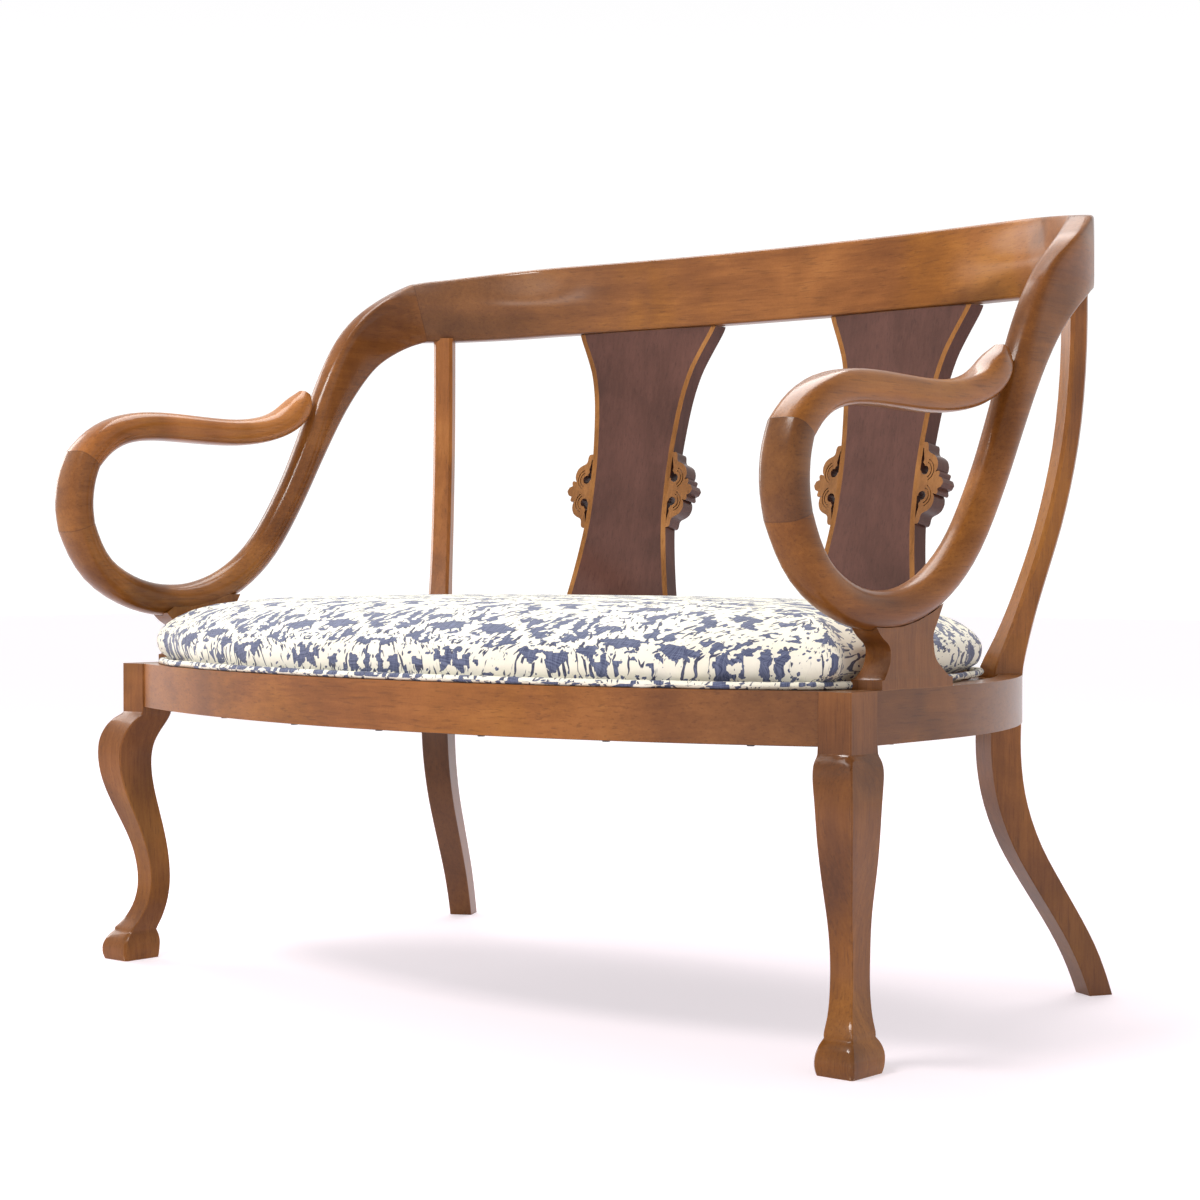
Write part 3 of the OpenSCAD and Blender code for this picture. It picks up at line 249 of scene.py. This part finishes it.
# Grain axis and depth of stain of each piece of brown show wood, and what sets it apart from the others. The depths
# and golds are partly painted light and shade: the crest rail, front rail and arm scrolls are stained lighter as
# painted light, the right side rail, front leg and arm front darker as painted shade, and the right arm's sweep and
# front less golden as painted shade
STAINS_AND_PAINTED_LIGHT = {
    "crest_rail": ("X", 1.10, {"end_shade": (-0.10, -0.45, 0.30), "coat": (-0.35, 0.35, 0.55, 0.16)}),
    "front_seat_rail": ("X", 1.30, {"end_shade": (0.20, 0.50, 0.42)}),
    "rear_seat_rail": ("X", 0.90, {}),
    "side_seat_rail_left": ("Y", 0.90, {}),
    "side_seat_rail_right": ("Y", 0.72, {}),
    "front_leg_left": ("Z", 0.95, {"coat": 0.22}),
    "front_leg_right": ("Z", 0.84, {}),
    "rear_leg_left": ("Z", 1.38, {"shade": (0.72, 0.53)}),
    "rear_leg_right": ("Z", 1.16, {"shade": (0.08, 0.44)}),
    "arm_sweep_left": ("Y", 0.98, {}),
    "arm_sweep_right": ("Y", 1.06, {"gold": 0.50, "coat": 0.22}),
    "arm_front_left": ("Y", 0.96, {}),
    "arm_front_right": ("Y", 0.66, {"gold": 0.10}),
    "arm_scroll_left": ("Y", 1.42, {}),
    "arm_scroll_right": ("Y", 1.34, {}),
    "arm_pedestal_left": ("Z", 0.85, {}),
    "arm_pedestal_right": ("Z", 0.85, {}),
}
# One seed for all pieces of an arm, so that the clouds of its stain run on over the seams
ARM_SEEDS = {"left": 3.8, "right": 8.3}
finish = {}
for number, (name, (grain, depth, apart)) in enumerate(STAINS_AND_PAINTED_LIGHT.items()):
    arm = name.startswith("arm_")
    seed = ARM_SEEDS[name.split("_")[-1]] if arm else 1.3 + 1.7 * number
    jointed = name == "crest_rail" or arm and "pedestal" not in name
    # The depth scales the stain, partly as painted light and shade
    stain = [tuple(depth * c for c in tone) for tone in BROWN]
    finish[name] = wood("wood_" + name, grain, stain, seed, joints=jointed, **apart)
for number, side in enumerate(("left", "right")):
    finish["splat_panel_" + side] = wood("veneer_" + side, "Z", DARK, 2.2 + 0.9 * number, gloss=0.46, gold=0.0)
    finish["splat_" + side] = wood("wood_splat_" + side, "Z", OCHRE, 1.1 + 1.9 * number, gold=0.3, sides=DARK,
                                   coat=0.12)
carved = wood("wood_carved", "Z", OCHRE, 5.5, gloss=0.44, gold=0.2, sides=DARK)
inner = wood("wood_inner", "X", OCHRE, 6.6, gloss=0.6, gold=0.0)
steel = metal("tack_steel")


def mesh_piece(name, points, faces, material):
    """A new smoothly shaded object from points and faces."""
    mesh = bpy.data.meshes.new(name)
    mesh.from_pydata([tuple(p) for p in points], [], faces)
    mesh.update()
    mesh.shade_smooth()
    mesh.materials.append(material)
    return linked(name, mesh)


def linked(name, mesh):
    """A mesh's new object, in the scene."""
    made = bpy.data.objects.new(name, mesh)
    scene.collection.objects.link(made)
    return made


def welded(node, sharp=32.0):
    """A bmesh of a CAD node with its corners joined, its flats in few faces, and its arrises creased."""
    work = bmesh.new()
    work.from_mesh(nodes[node].data)
    bmesh.ops.remove_doubles(work, verts=work.verts, dist=0.02 * MM)
    bmesh.ops.join_triangles(work, faces=work.faces, cmp_seam=False, cmp_sharp=False, cmp_uvs=False,
                             angle_face_threshold=math.radians(25), angle_shape_threshold=math.radians(50))
    crease = work.edges.layers.float.get("crease_edge") or work.edges.layers.float.new("crease_edge")
    for edge in work.edges:
        hard = len(edge.link_faces) != 2 or edge.calc_face_angle(0) > math.radians(sharp)
        edge.smooth = not hard
        edge[crease] = 1.0 if hard else 0.0
    for face in work.faces:
        face.smooth = True
    return work


def as_object(work, name):
    """A bmesh as a new object in the scene; the bmesh is freed."""
    mesh = bpy.data.meshes.new(name)
    work.to_mesh(mesh)
    work.free()
    return linked(name, mesh)


def subdivide(made, name, rounds):
    bend = made.modifiers.new(name, "SUBSURF")
    bend.levels = bend.render_levels = rounds


def refined(node, material, rounds=0):
    """A piece with a CAD node's own shape, smoothly shaded, its swept faces rounded by subdivision."""
    made = as_object(welded(node, 50 if rounds and "leg" not in node else 32), node + "_finish")
    made.data.materials.append(material)
    if rounds:
        subdivide(made, "round", rounds)
    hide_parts(node)
    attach(made, "root")


SOFT = ("seat_cushion", "seat_welt", "seat_webbing_long", "seat_webbing_cross", "dust_cover")
SWEPT = ("arm_sweep", "arm_front", "arm_scroll", "front_leg", "rear_leg", "crest_rail", "arm_pedestal")
for name, node in nodes.items():
    if name in SOFT:
        continue
    if name in finish:
        refined(name, finish[name], 1 if name.startswith(SWEPT) else 0)
    elif name.startswith("ornament"):
        refined(name, carved)
    else:
        use = steel if name in ("seat_screws", "dust_cover_tacks") else inner
        if not node.material_slots:
            node.data.materials.append(use)
        for held in node.material_slots:
            held.material = use


# Cloth with its own leaf damask: half the width and the height of a repeat, in metres, drawn finer by a share
HALF_REPEAT, TALL_REPEAT, FINER = 0.155, 0.300, 1.28
# x, y, heading, length, width, bend and lobes of each plume, in mm and degrees
PLUMES = [
    (0, 52, 90, 92, 44, 0, 4), (10, 40, 62, 84, 36, -34, 4), (14, 30, 28, 66, 30, -40, 4), (0, 44, -90, 34, 18, 0, 2),
    (66, 8, 122, 78, 36, 38, 4), (70, 4, 70, 92, 38, -30, 5), (84, 0, 30, 62, 30, 34, 4),
    (112, 60, 100, 84, 36, 28, 4), (104, 70, 140, 62, 28, -34, 3), (155, 64, 90, 86, 42, 0, 4),
    (146, 52, 118, 74, 30, 36, 4), (155, 40, -90, 62, 34, 0, 3), (140, 20, -140, 56, 26, -36, 3),
    (38, 128, 96, 82, 36, 30, 4), (46, 122, 48, 84, 36, 36, 4), (50, 118, 8, 58, 28, -34, 3),
    (0, 156, 90, 66, 40, 0, 3), (8, 150, 48, 60, 26, 30, 3), (92, 150, 84, 86, 38, -34, 4),
    (86, 146, 128, 66, 30, -38, 3), (98, 142, 30, 60, 28, 40, 3), (155, 170, 90, 80, 42, 0, 4),
    (148, 162, 122, 78, 32, 34, 4), (132, 196, 150, 52, 26, -30, 3), (30, 214, 104, 78, 34, -30, 4),
    (40, 210, 62, 88, 38, 32, 5), (44, 206, 16, 54, 28, -36, 3), (0, 236, 90, 58, 36, 0, 3),
    (6, 232, 40, 52, 24, 34, 3), (96, 236, 96, 82, 38, 34, 4), (104, 230, 50, 74, 32, -34, 4),
    (90, 240, 150, 56, 26, 30, 3), (155, 252, 90, 56, 34, 0, 3), (150, 246, 140, 60, 26, 30, 3),
    (62, 268, 80, 50, 26, -28, 3), (18, 286, 50, 56, 26, -30, 3), (128, 288, 80, 52, 26, 30, 3),
]
SPRIGS = [(12 + 29 * i, 10 + 34 * j, 35 + 70 * ((i + 2 * j) % 3), 36, 17, 24 - 48 * ((i + j) % 2), 2)
          for j in range(9) for i in range(6)]
# Slant of the blue strokes between the leaves
STROKE_SLANT = math.radians(32)


def folded(u):
    """The cloth's place across a repeat, mirrored in its middle."""
    return np.abs((u * FINER / HALF_REPEAT + 1) % 2 - 1) * HALF_REPEAT


def leaf_field(u, v):
    """How far a point of the cloth lies inside its nearest cream leaf, in metres: negative on the blue ground."""
    across_repeat = folded(u)
    up_repeat = v * FINER % TALL_REPEAT
    field = np.full(np.shape(u), -0.02)
    for x, y, heading, length, width, bend, lobes in SPRIGS + PLUMES:
        length, width = length * MM, width * MM
        c, s = math.cos(math.radians(heading)), math.sin(math.radians(heading))
        for lift in (-TALL_REPEAT, 0, TALL_REPEAT):
            du, dv = across_repeat - x * MM, up_repeat - y * MM - lift
            along = du * c + dv * s
            across = np.abs(dv * c - du * s - math.tan(math.radians(bend)) * along * along / length)
            t = np.clip(along / length, 0, 1)
            lobe = np.abs(np.sin(math.pi * (1.5 * lobes * t ** 0.8 - 0.5 * across / width))) ** 0.6
            half = width * 0.46 * np.sin(math.pi * t ** 0.62) ** 0.62 * (0.22 + 0.78 * lobe)
            body = np.minimum(half - across, np.minimum(along, length - along))
            rib = across - 0.8 * MM + np.maximum(0, t - 0.66) * 0.02 + np.maximum(0, 0.12 - t) * 0.02
            edged = np.where(body > -1.2 * MM, np.minimum(field, body), field)
            field = np.where(body > 0, np.minimum(body, rib), edged)
    return field


def cloth_material():
    """Damask: cream leaves on slate blue with jagged edges, blue strokes between them, threads and a soft sheen."""
    s = Shader("damask_cloth")
    cloth, slanted = (s.add("ShaderNodeAttribute", attribute_name=name).outputs["Vector"]
                      for name in ("cloth", "slanted"))
    leaf = s.add("ShaderNodeAttribute", attribute_name="leaf").outputs["Fac"]

    # Depth inside the cream, in metres
    jagged = s.noise(s.place(scale=(1, 0.18, 1), source=cloth), 400, 2, 0.6)
    ragged = s.noise(s.place(scale=(1, 0.7, 1), source=cloth), 130, 2, 0.5)
    shift = s.sum(s.swing(jagged, 8.5 * MM), s.swing(ragged, 3.5 * MM))
    stroke = s.noise(s.place(scale=(1, 0.30, 1), source=slanted), 175, 1.5, 0.5)
    strokes = s.sum(s.times(s.math("SUBTRACT", 0.602, stroke), 14 * MM), s.times(shift, 0.30))
    depth = s.math("MINIMUM", s.sum(leaf, shift, 1.5 * MM), strokes)
    cream = s.span(depth, -0.3 * MM, 0.3 * MM)
    rim = s.times(s.span(depth, -2.4 * MM, -0.8 * MM), s.math("SUBTRACT", 1.0, cream))

    # Colours of the threads
    warp = s.noise(s.place(scale=(1, 0.05, 1), source=cloth), 900, 1)
    weft = s.noise(s.place(scale=(0.05, 1, 1), source=cloth), 900, 1)
    thread = s.times(s.sum(warp, weft), 0.5)
    blue = s.mix(s.span(thread, 0.35, 0.65), (0.042, 0.053, 0.112), (0.150, 0.174, 0.275))
    blue = s.mix(s.times(rim, 0.75), blue, (0.040, 0.040, 0.070))
    ivory = s.mix(s.noise(s.place(source=cloth), 14, 3), (0.80, 0.765, 0.610), (0.90, 0.875, 0.760))
    ivory = s.mix(s.times(s.span(thread, 0.55, 0.70), 0.12), ivory, (0.55, 0.53, 0.45))

    weave = s.sum(s.math("MAXIMUM", *s.threads(cloth, 420, 1.5, 1, 0.6)), s.times(cream, 0.6))
    normal = s.bump(weave, 0.35, 0.25 * MM)
    normal = s.bump(s.noise(s.place(source=cloth), 45, 3), 0.10, 1.0 * MM, normal)
    s.set(Base_Color=s.mix(cream, blue, ivory), Roughness=s.sum(0.72, s.times(thread, 0.2)), Sheen_Weight=0.25,
          Sheen_Roughness=0.5, Specular_IOR_Level=0.25, Normal=normal)
    return s.material


def rows_of(items, key):
    """A mesh's points (key co) or its normals (key vector) as an array."""
    found = np.empty(len(items) * 3, np.float32)
    items.foreach_get(key, found)
    return found.reshape(-1, 3).astype(float)


def set_points(mesh, points):
    mesh.vertices.foreach_set("co", points.astype(np.float32).ravel())
    mesh.update()


def store(mesh, name, *parts):
    """Keeps one number or three for each point of a mesh, under a name that a material reads."""
    kind, key = ("FLOAT_VECTOR", "vector") if len(parts) == 3 else ("FLOAT", "value")
    held = mesh.attributes.new(name, kind, "POINT")
    held.data.foreach_set(key, np.stack(parts, 1).astype(np.float32).ravel())


def lay_pattern(mesh, u, v):
    """Stores the cloth's own coordinates, its leaf field and the slanting coordinates of its strokes on a mesh."""
    c, s = math.cos(STROKE_SLANT), math.sin(STROKE_SLANT)
    mirrored = folded(u)
    store(mesh, "cloth", u, v, 0 * u)
    store(mesh, "leaf", leaf_field(u, v))
    store(mesh, "slanted", mirrored * c - v * s, mirrored * s + v * c, 0 * u)


def with_modifiers(made):
    """Applies an object's modifiers and returns its new mesh."""
    graph = bpy.context.evaluated_depsgraph_get()
    old = made.data
    mesh = bpy.data.meshes.new_from_object(made.evaluated_get(graph), depsgraph=graph)
    made.modifiers.clear()
    made.data = mesh
    bpy.data.meshes.remove(old)
    mesh.name = made.name
    return mesh


# The cushion's grid, the room it has inside the CAD form, the height of its foot, and the simulation's length
CUSHION_GRID, CUSHION_ROOM, CUSHION_FOOT, CLOTH_FRAMES = 8 * MM, 2.2 * MM, SEAT_H + 0.4 * MM, 20
# Where the cushion's middle lies on the cloth, and how much of its drop is wrapped sideways
PATTERN_MIDDLE, WRAP = (0.1265, 0.44), 0.85


def seat_cushion(material):
    """The upholstered seat: the CAD form, filled out by a short cloth simulation within the room it has."""
    made = as_object(welded("seat_cushion", 180), "seat_cushion_cover")
    subdivide(made, "round", 1)
    grid = made.modifiers.new("grid", "REMESH")
    grid.mode = "VOXEL"
    grid.voxel_size = CUSHION_GRID
    even = made.modifiers.new("even", "SMOOTH")
    even.factor = 0.5
    even.iterations = 3
    mesh = with_modifiers(made)
    start = rows_of(mesh.vertices, "co")
    shrink = np.where(start[:, 2] > CUSHION_FOOT + 4 * MM, CUSHION_ROOM, 0.6 * MM)
    points = start - rows_of(mesh.vertex_normals, "vector") * shrink[:, None]
    points[:, 2] = np.maximum(points[:, 2], CUSHION_FOOT)
    set_points(mesh, points)
    held = made.vertex_groups.new(name="held")
    held.add([int(i) for i in np.flatnonzero(points[:, 2] < CUSHION_FOOT + 6 * MM)], 1.0, "REPLACE")
    settings = made.modifiers.new("cloth", "CLOTH").settings
    settings.quality = 5
    settings.mass = 0.4
    settings.tension_stiffness = 20
    settings.compression_stiffness = 12
    settings.shear_stiffness = 8
    settings.bending_stiffness = 0.8
    settings.use_pressure = True
    settings.uniform_pressure_force = 4
    settings.vertex_group_mass = "held"
    settings.effector_weights.gravity = 0
    for frame_number in range(1, CLOTH_FRAMES + 1):
        scene.frame_set(frame_number)
    mesh = with_modifiers(made)
    scene.frame_set(1)
    moved = rows_of(mesh.vertices, "co") - points
    size = np.maximum(np.linalg.norm(moved, axis=1), 1e-9)
    cap = np.where(points[:, 2] > CUSHION_FOOT + 4 * MM, CUSHION_ROOM, 0.3 * MM)
    points = points + moved * np.minimum(1, cap / size)[:, None]
    points[:, 2] = np.maximum(points[:, 2], CUSHION_FOOT)
    set_points(mesh, points)
    subdivide(made, "fine", 2)
    mesh = with_modifiers(made)
    mesh.shade_smooth()
    mesh.materials.clear()
    mesh.materials.append(material)
    points, facing = rows_of(mesh.vertices, "co"), rows_of(mesh.vertex_normals, "vector")
    drop = (points[:, 2].max() - points[:, 2]) * WRAP
    lay_pattern(mesh, *(points[:, k] + facing[:, k] * drop + PATTERN_MIDDLE[k] for k in (0, 1)))
    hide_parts("seat_cushion")
    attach(made, "root")


# The piping's steps round the seat and round the cord, its radius, and the middle that it runs round
WELT_STEPS, WELT_SIDES, WELT_RADIUS, SEAT_MIDDLE_Y = 760, 20, 3.9 * MM, 0.05


def seat_welt(material):
    """The piping round the cushion's foot, a round cord sewn into the same cloth."""
    work = welded("seat_welt")
    points = np.array([v.co[:] for v in work.verts])
    work.free()

    # Middle line of the cord, from the mean place of the solid's corners in each direction
    angle = np.arctan2(points[:, 1] - SEAT_MIDDLE_Y, points[:, 0])
    which = np.digitize(angle, np.linspace(-math.pi, math.pi, 85))
    path = np.array([points[which == k][:, :2].mean(0) for k in sorted(set(which))])
    closed = np.vstack([path, path[:1]])
    run = np.concatenate([[0], np.cumsum(np.linalg.norm(np.diff(closed, axis=0), axis=1))])
    at = np.linspace(0, run[-1], WELT_STEPS, endpoint=False)
    line = np.stack([np.interp(at, run, closed[:, k]) for k in (0, 1)], 1)
    for _ in range(6):
        line = (np.roll(line, 1, 0) + line * 2 + np.roll(line, -1, 0)) / 4
    way = np.roll(line, -1, 0) - np.roll(line, 1, 0)
    way /= np.linalg.norm(way, axis=1)[:, None]
    out = np.stack([way[:, 1], -way[:, 0]], 1)

    # Rings of the cord, which swells a little between its stitches
    swell = 1 + 0.03 * np.sin(at * 2 * math.pi / 0.031) + 0.02 * np.sin(at * 2 * math.pi / 0.012)
    r = WELT_RADIUS * swell
    rings, vs = [], []
    for t in np.linspace(0, 2 * math.pi, WELT_SIDES, endpoint=False):
        xy = line + out * (r * math.cos(t))[:, None]
        z = SEAT_H + 0.3 * MM + WELT_RADIUS * 1.03 + r * math.sin(t)
        rings.append(np.column_stack([xy, z]))
        vs.append(np.full(WELT_STEPS, WELT_RADIUS * t + 0.118) + 0.02 * np.sin(at * 7))
    faces = []
    for i in range(WELT_STEPS):
        here, there = i * WELT_SIDES, (i + 1) % WELT_STEPS * WELT_SIDES
        for k in range(WELT_SIDES):
            beside = (k + 1) % WELT_SIDES
            faces.append((here + k, there + k, there + beside, here + beside))
    made = mesh_piece("seat_welt_cord", np.stack(rings, 1).reshape(-1, 3), faces, material)
    lay_pattern(made.data, np.repeat(at, WELT_SIDES), np.stack(vs, 1).ravel())
    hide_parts("seat_welt")
    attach(made, "root")


def woven(name, light, dark, pitch, stripe):
    """Plain-woven cloth seen in the object's own coordinates."""
    s = Shader(name)
    weave = s.times(s.sum(*s.threads(s.place(), pitch, 2.0, 2, 1.5)), 0.5)
    fuzz = s.noise(s.place(), 60, 4)
    colour = s.mix(s.sum(s.times(weave, 0.6), s.times(fuzz, 0.4)), dark, light)
    s.set(Base_Color=s.mix(s.span(fuzz, 0.55, 0.62, 0.0, 0.4), colour, stripe),
          Roughness=s.sum(0.78, s.times(weave, 0.18)), Sheen_Weight=0.2, Normal=s.bump(weave, 0.5, 0.4 * MM))
    return s.material


def thin_sheet(name, rows, level, thick, material):
    """A closed sheet of one thickness over rows of plan points, its middle at a level given for each point."""
    high, wide = rows.shape[:2]
    top = np.dstack([rows, level + thick / 2])
    low = np.dstack([rows, level - thick / 2])
    points = np.concatenate([top.reshape(-1, 3), low.reshape(-1, 3)])
    size = high * wide
    faces = []
    for i in range(high - 1):
        for k in range(wide - 1):
            a = i * wide + k
            faces.append((a, a + 1, a + wide + 1, a + wide))
            faces.append((size + a, size + a + wide, size + a + wide + 1, size + a + 1))
    rim = list(range(wide)) + [i * wide + wide - 1 for i in range(1, high)]
    rim += [(high - 1) * wide + k for k in range(wide - 2, -1, -1)] + [i * wide for i in range(high - 2, 0, -1)]
    faces += [(b, a, size + a, size + b) for a, b in zip(rim, rim[1:] + rim[:1])]
    made = mesh_piece(name, points, faces, material)
    work = bmesh.new()
    work.from_mesh(made.data)
    bmesh.ops.recalc_face_normals(work, faces=work.faces)
    work.to_mesh(made.data)
    work.free()
    return made


def islands(node):
    """The separate solids of a CAD node, as arrays of their corners."""
    work = welded(node)
    left, found = set(work.verts), []
    while left:
        group, queue = [], [left.pop()]
        while queue:
            corner = queue.pop()
            group.append(tuple(corner.co))
            for edge in corner.link_edges:
                other = edge.other_vert(corner)
                if other in left:
                    left.remove(other)
                    queue.append(other)
        found.append(np.array(group))
    work.free()
    return sorted(found, key=lambda g: tuple(g.mean(0)))


def webbing(node, along, material):
    """Jute webbing strips, each stretched from rail to rail; along is 0 for strips along X and 1 for those along Y."""
    across = 1 - along
    steps, ribs = 60, 9
    for number, corners in enumerate(islands(node)):
        near, far = corners[:, across].min(), corners[:, across].max()
        ends = []
        for side in (near, far):
            run = corners[np.abs(corners[:, across] - side) < 1 * MM][:, along]
            ends.append(np.array([run.min(), run.max()]))
        rows = np.zeros((steps, ribs, 2))
        for k, share in enumerate(np.linspace(0, 1, ribs)):
            rows[:, k, along] = np.linspace(*(ends[0] + (ends[1] - ends[0]) * share), steps)
            rows[:, k, across] = near + (far - near) * share
        ripple = 0.10 * MM * np.sin(np.linspace(0, 40, steps))
        level = corners[:, 2].mean() + ripple[:, None] * np.ones(ribs)
        made = thin_sheet(f"{node}_strip_{number + 1}", rows, level, 1.2 * MM, material)
        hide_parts(node)
        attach(made, "root")


def under_cover(material):
    """The dust cover tacked under the rails, which sags a little between its tacks."""
    work = welded("dust_cover")
    edges = [(np.array(e.verts[0].co), np.array(e.verts[1].co)) for e in work.edges if len(e.link_faces) == 2
             and abs(e.verts[0].co.z - e.verts[1].co.z) < 0.1 * MM]
    level = np.mean([v.co.z for v in work.verts])
    reach = max(v.co.x for v in work.verts) - 0.5 * MM
    work.free()

    # Rows from the outline's front to its back
    steps, ribs = 121, 41
    rows = np.zeros((steps, ribs, 2))
    for i, x in enumerate(np.linspace(-reach, reach, steps)):
        met = [a[1] + (b[1] - a[1]) * (x - a[0]) / (b[0] - a[0]) for a, b in edges
               if (a[0] - x) * (b[0] - x) <= 0 and abs(a[0] - b[0]) > 1e-7]
        rows[i, :, 0] = x
        rows[i, :, 1] = np.linspace(min(met), max(met), ribs)
    x, y = rows[:, :, 0], rows[:, :, 1]

    # Sag of the middle, and puckers by the tacks
    inside = np.sin(math.pi * np.linspace(0, 1, ribs)[None, :])
    sag = 5 * MM * inside * np.clip(1 - (x / reach) ** 4, 0, 1)
    pucker = 0.9 * MM * np.abs(np.sin(x * 62) * inside ** 0.5 * (1 - inside))
    made = thin_sheet("dust_cover_cloth", rows, level - sag - pucker, 0.9 * MM, material)
    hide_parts("dust_cover")
    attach(made, "root")


damask = cloth_material()
seat_cushion(damask)
seat_welt(damask)
jute = woven("jute_webbing", (0.42, 0.30, 0.16), (0.22, 0.14, 0.07), 160, (0.30, 0.06, 0.04))
webbing("seat_webbing_long", 0, jute)
webbing("seat_webbing_cross", 1, jute)
under_cover(woven("black_cambric", (0.035, 0.034, 0.036), (0.012, 0.012, 0.013), 380, (0.05, 0.05, 0.05)))


# Floor, backdrop and lights
STUDIO_WHITE = (1.0, 0.995, 1.0)


def studio_floor():
    """A pale floor that glows, with a painted shadow round the seat, where it glows a little less and pinker."""
    s = Shader("studio_floor")
    tint = s.noise(s.place(), 1.4, 2)
    reach = s.add("ShaderNodeVectorMath", {0: s.place()}, operation="LENGTH").outputs["Value"]
    # Painted shadow: nearer than this reach the floor glows less and pinker
    far = s.span(reach, 1.2, 3.2)
    s.set(Base_Color=s.mix(tint, (0.57, 0.505, 0.540), (0.59, 0.525, 0.560)), Roughness=0.8, Specular_IOR_Level=0.05,
          Emission_Color=s.mix(far, (1.0, 0.945, 0.975), STUDIO_WHITE),
          Emission_Strength=s.sum(0.51, s.times(far, 0.10)))
    places = np.linspace(-18, 18, 7)
    points = [(x, y, 0.0) for y in places for x in places]
    faces = [(7 * i + k, 7 * i + k + 1, 7 * i + k + 8, 7 * i + k + 7) for i in range(6) for k in range(6)]
    made = mesh_piece("studio_floor", points, faces, s.material)


def soft_light(name, at, towards, size, watts, colour):
    data = bpy.data.lights.new(name, "AREA")
    data.shape = "RECTANGLE"
    data.size, data.size_y = size
    data.energy = watts
    data.color = colour
    lamp = bpy.data.objects.new(name, data)
    lamp.location = at
    lamp.rotation_euler = (Vector(towards) - Vector(at)).to_track_quat("-Z", "Y").to_euler()
    scene.collection.objects.link(lamp)


def studio_sky(horizon, zenith):
    """World light that grows from the zenith's strength to the horizon's."""
    world = bpy.data.worlds.new("studio")
    world.use_nodes = True
    sky = world.node_tree
    way = sky.nodes.new("ShaderNodeTexCoord")
    parts = sky.nodes.new("ShaderNodeSeparateXYZ")
    strength = sky.nodes.new("ShaderNodeMapRange")
    strength.inputs["To Min"].default_value = horizon
    strength.inputs["To Max"].default_value = zenith
    light = sky.nodes["Background"]
    light.inputs["Color"].default_value = (*STUDIO_WHITE, 1)
    sky.links.new(way.outputs["Generated"], parts.inputs[0])
    sky.links.new(parts.outputs["Z"], strength.inputs["Value"])
    sky.links.new(strength.outputs[0], light.inputs["Strength"])
    scene.world = world


studio_floor()
soft_light("light_top", (-0.9, 0.9, 3.0), (0, 0, 0.3), (2.2, 1.6), 70, (1.0, 0.985, 0.97))
soft_light("light_front", (-0.3, -2.0, 3.0), (0, 0, 0.6), (1.1, 0.7), 60, (1.0, 0.98, 0.95))
soft_light("light_left", (-3.3, -0.2, 1.5), (0, 0, 0.55), (1.2, 1.7), 40, (1.0, 0.975, 0.95))
studio_sky(horizon=1.15, zenith=0.45)
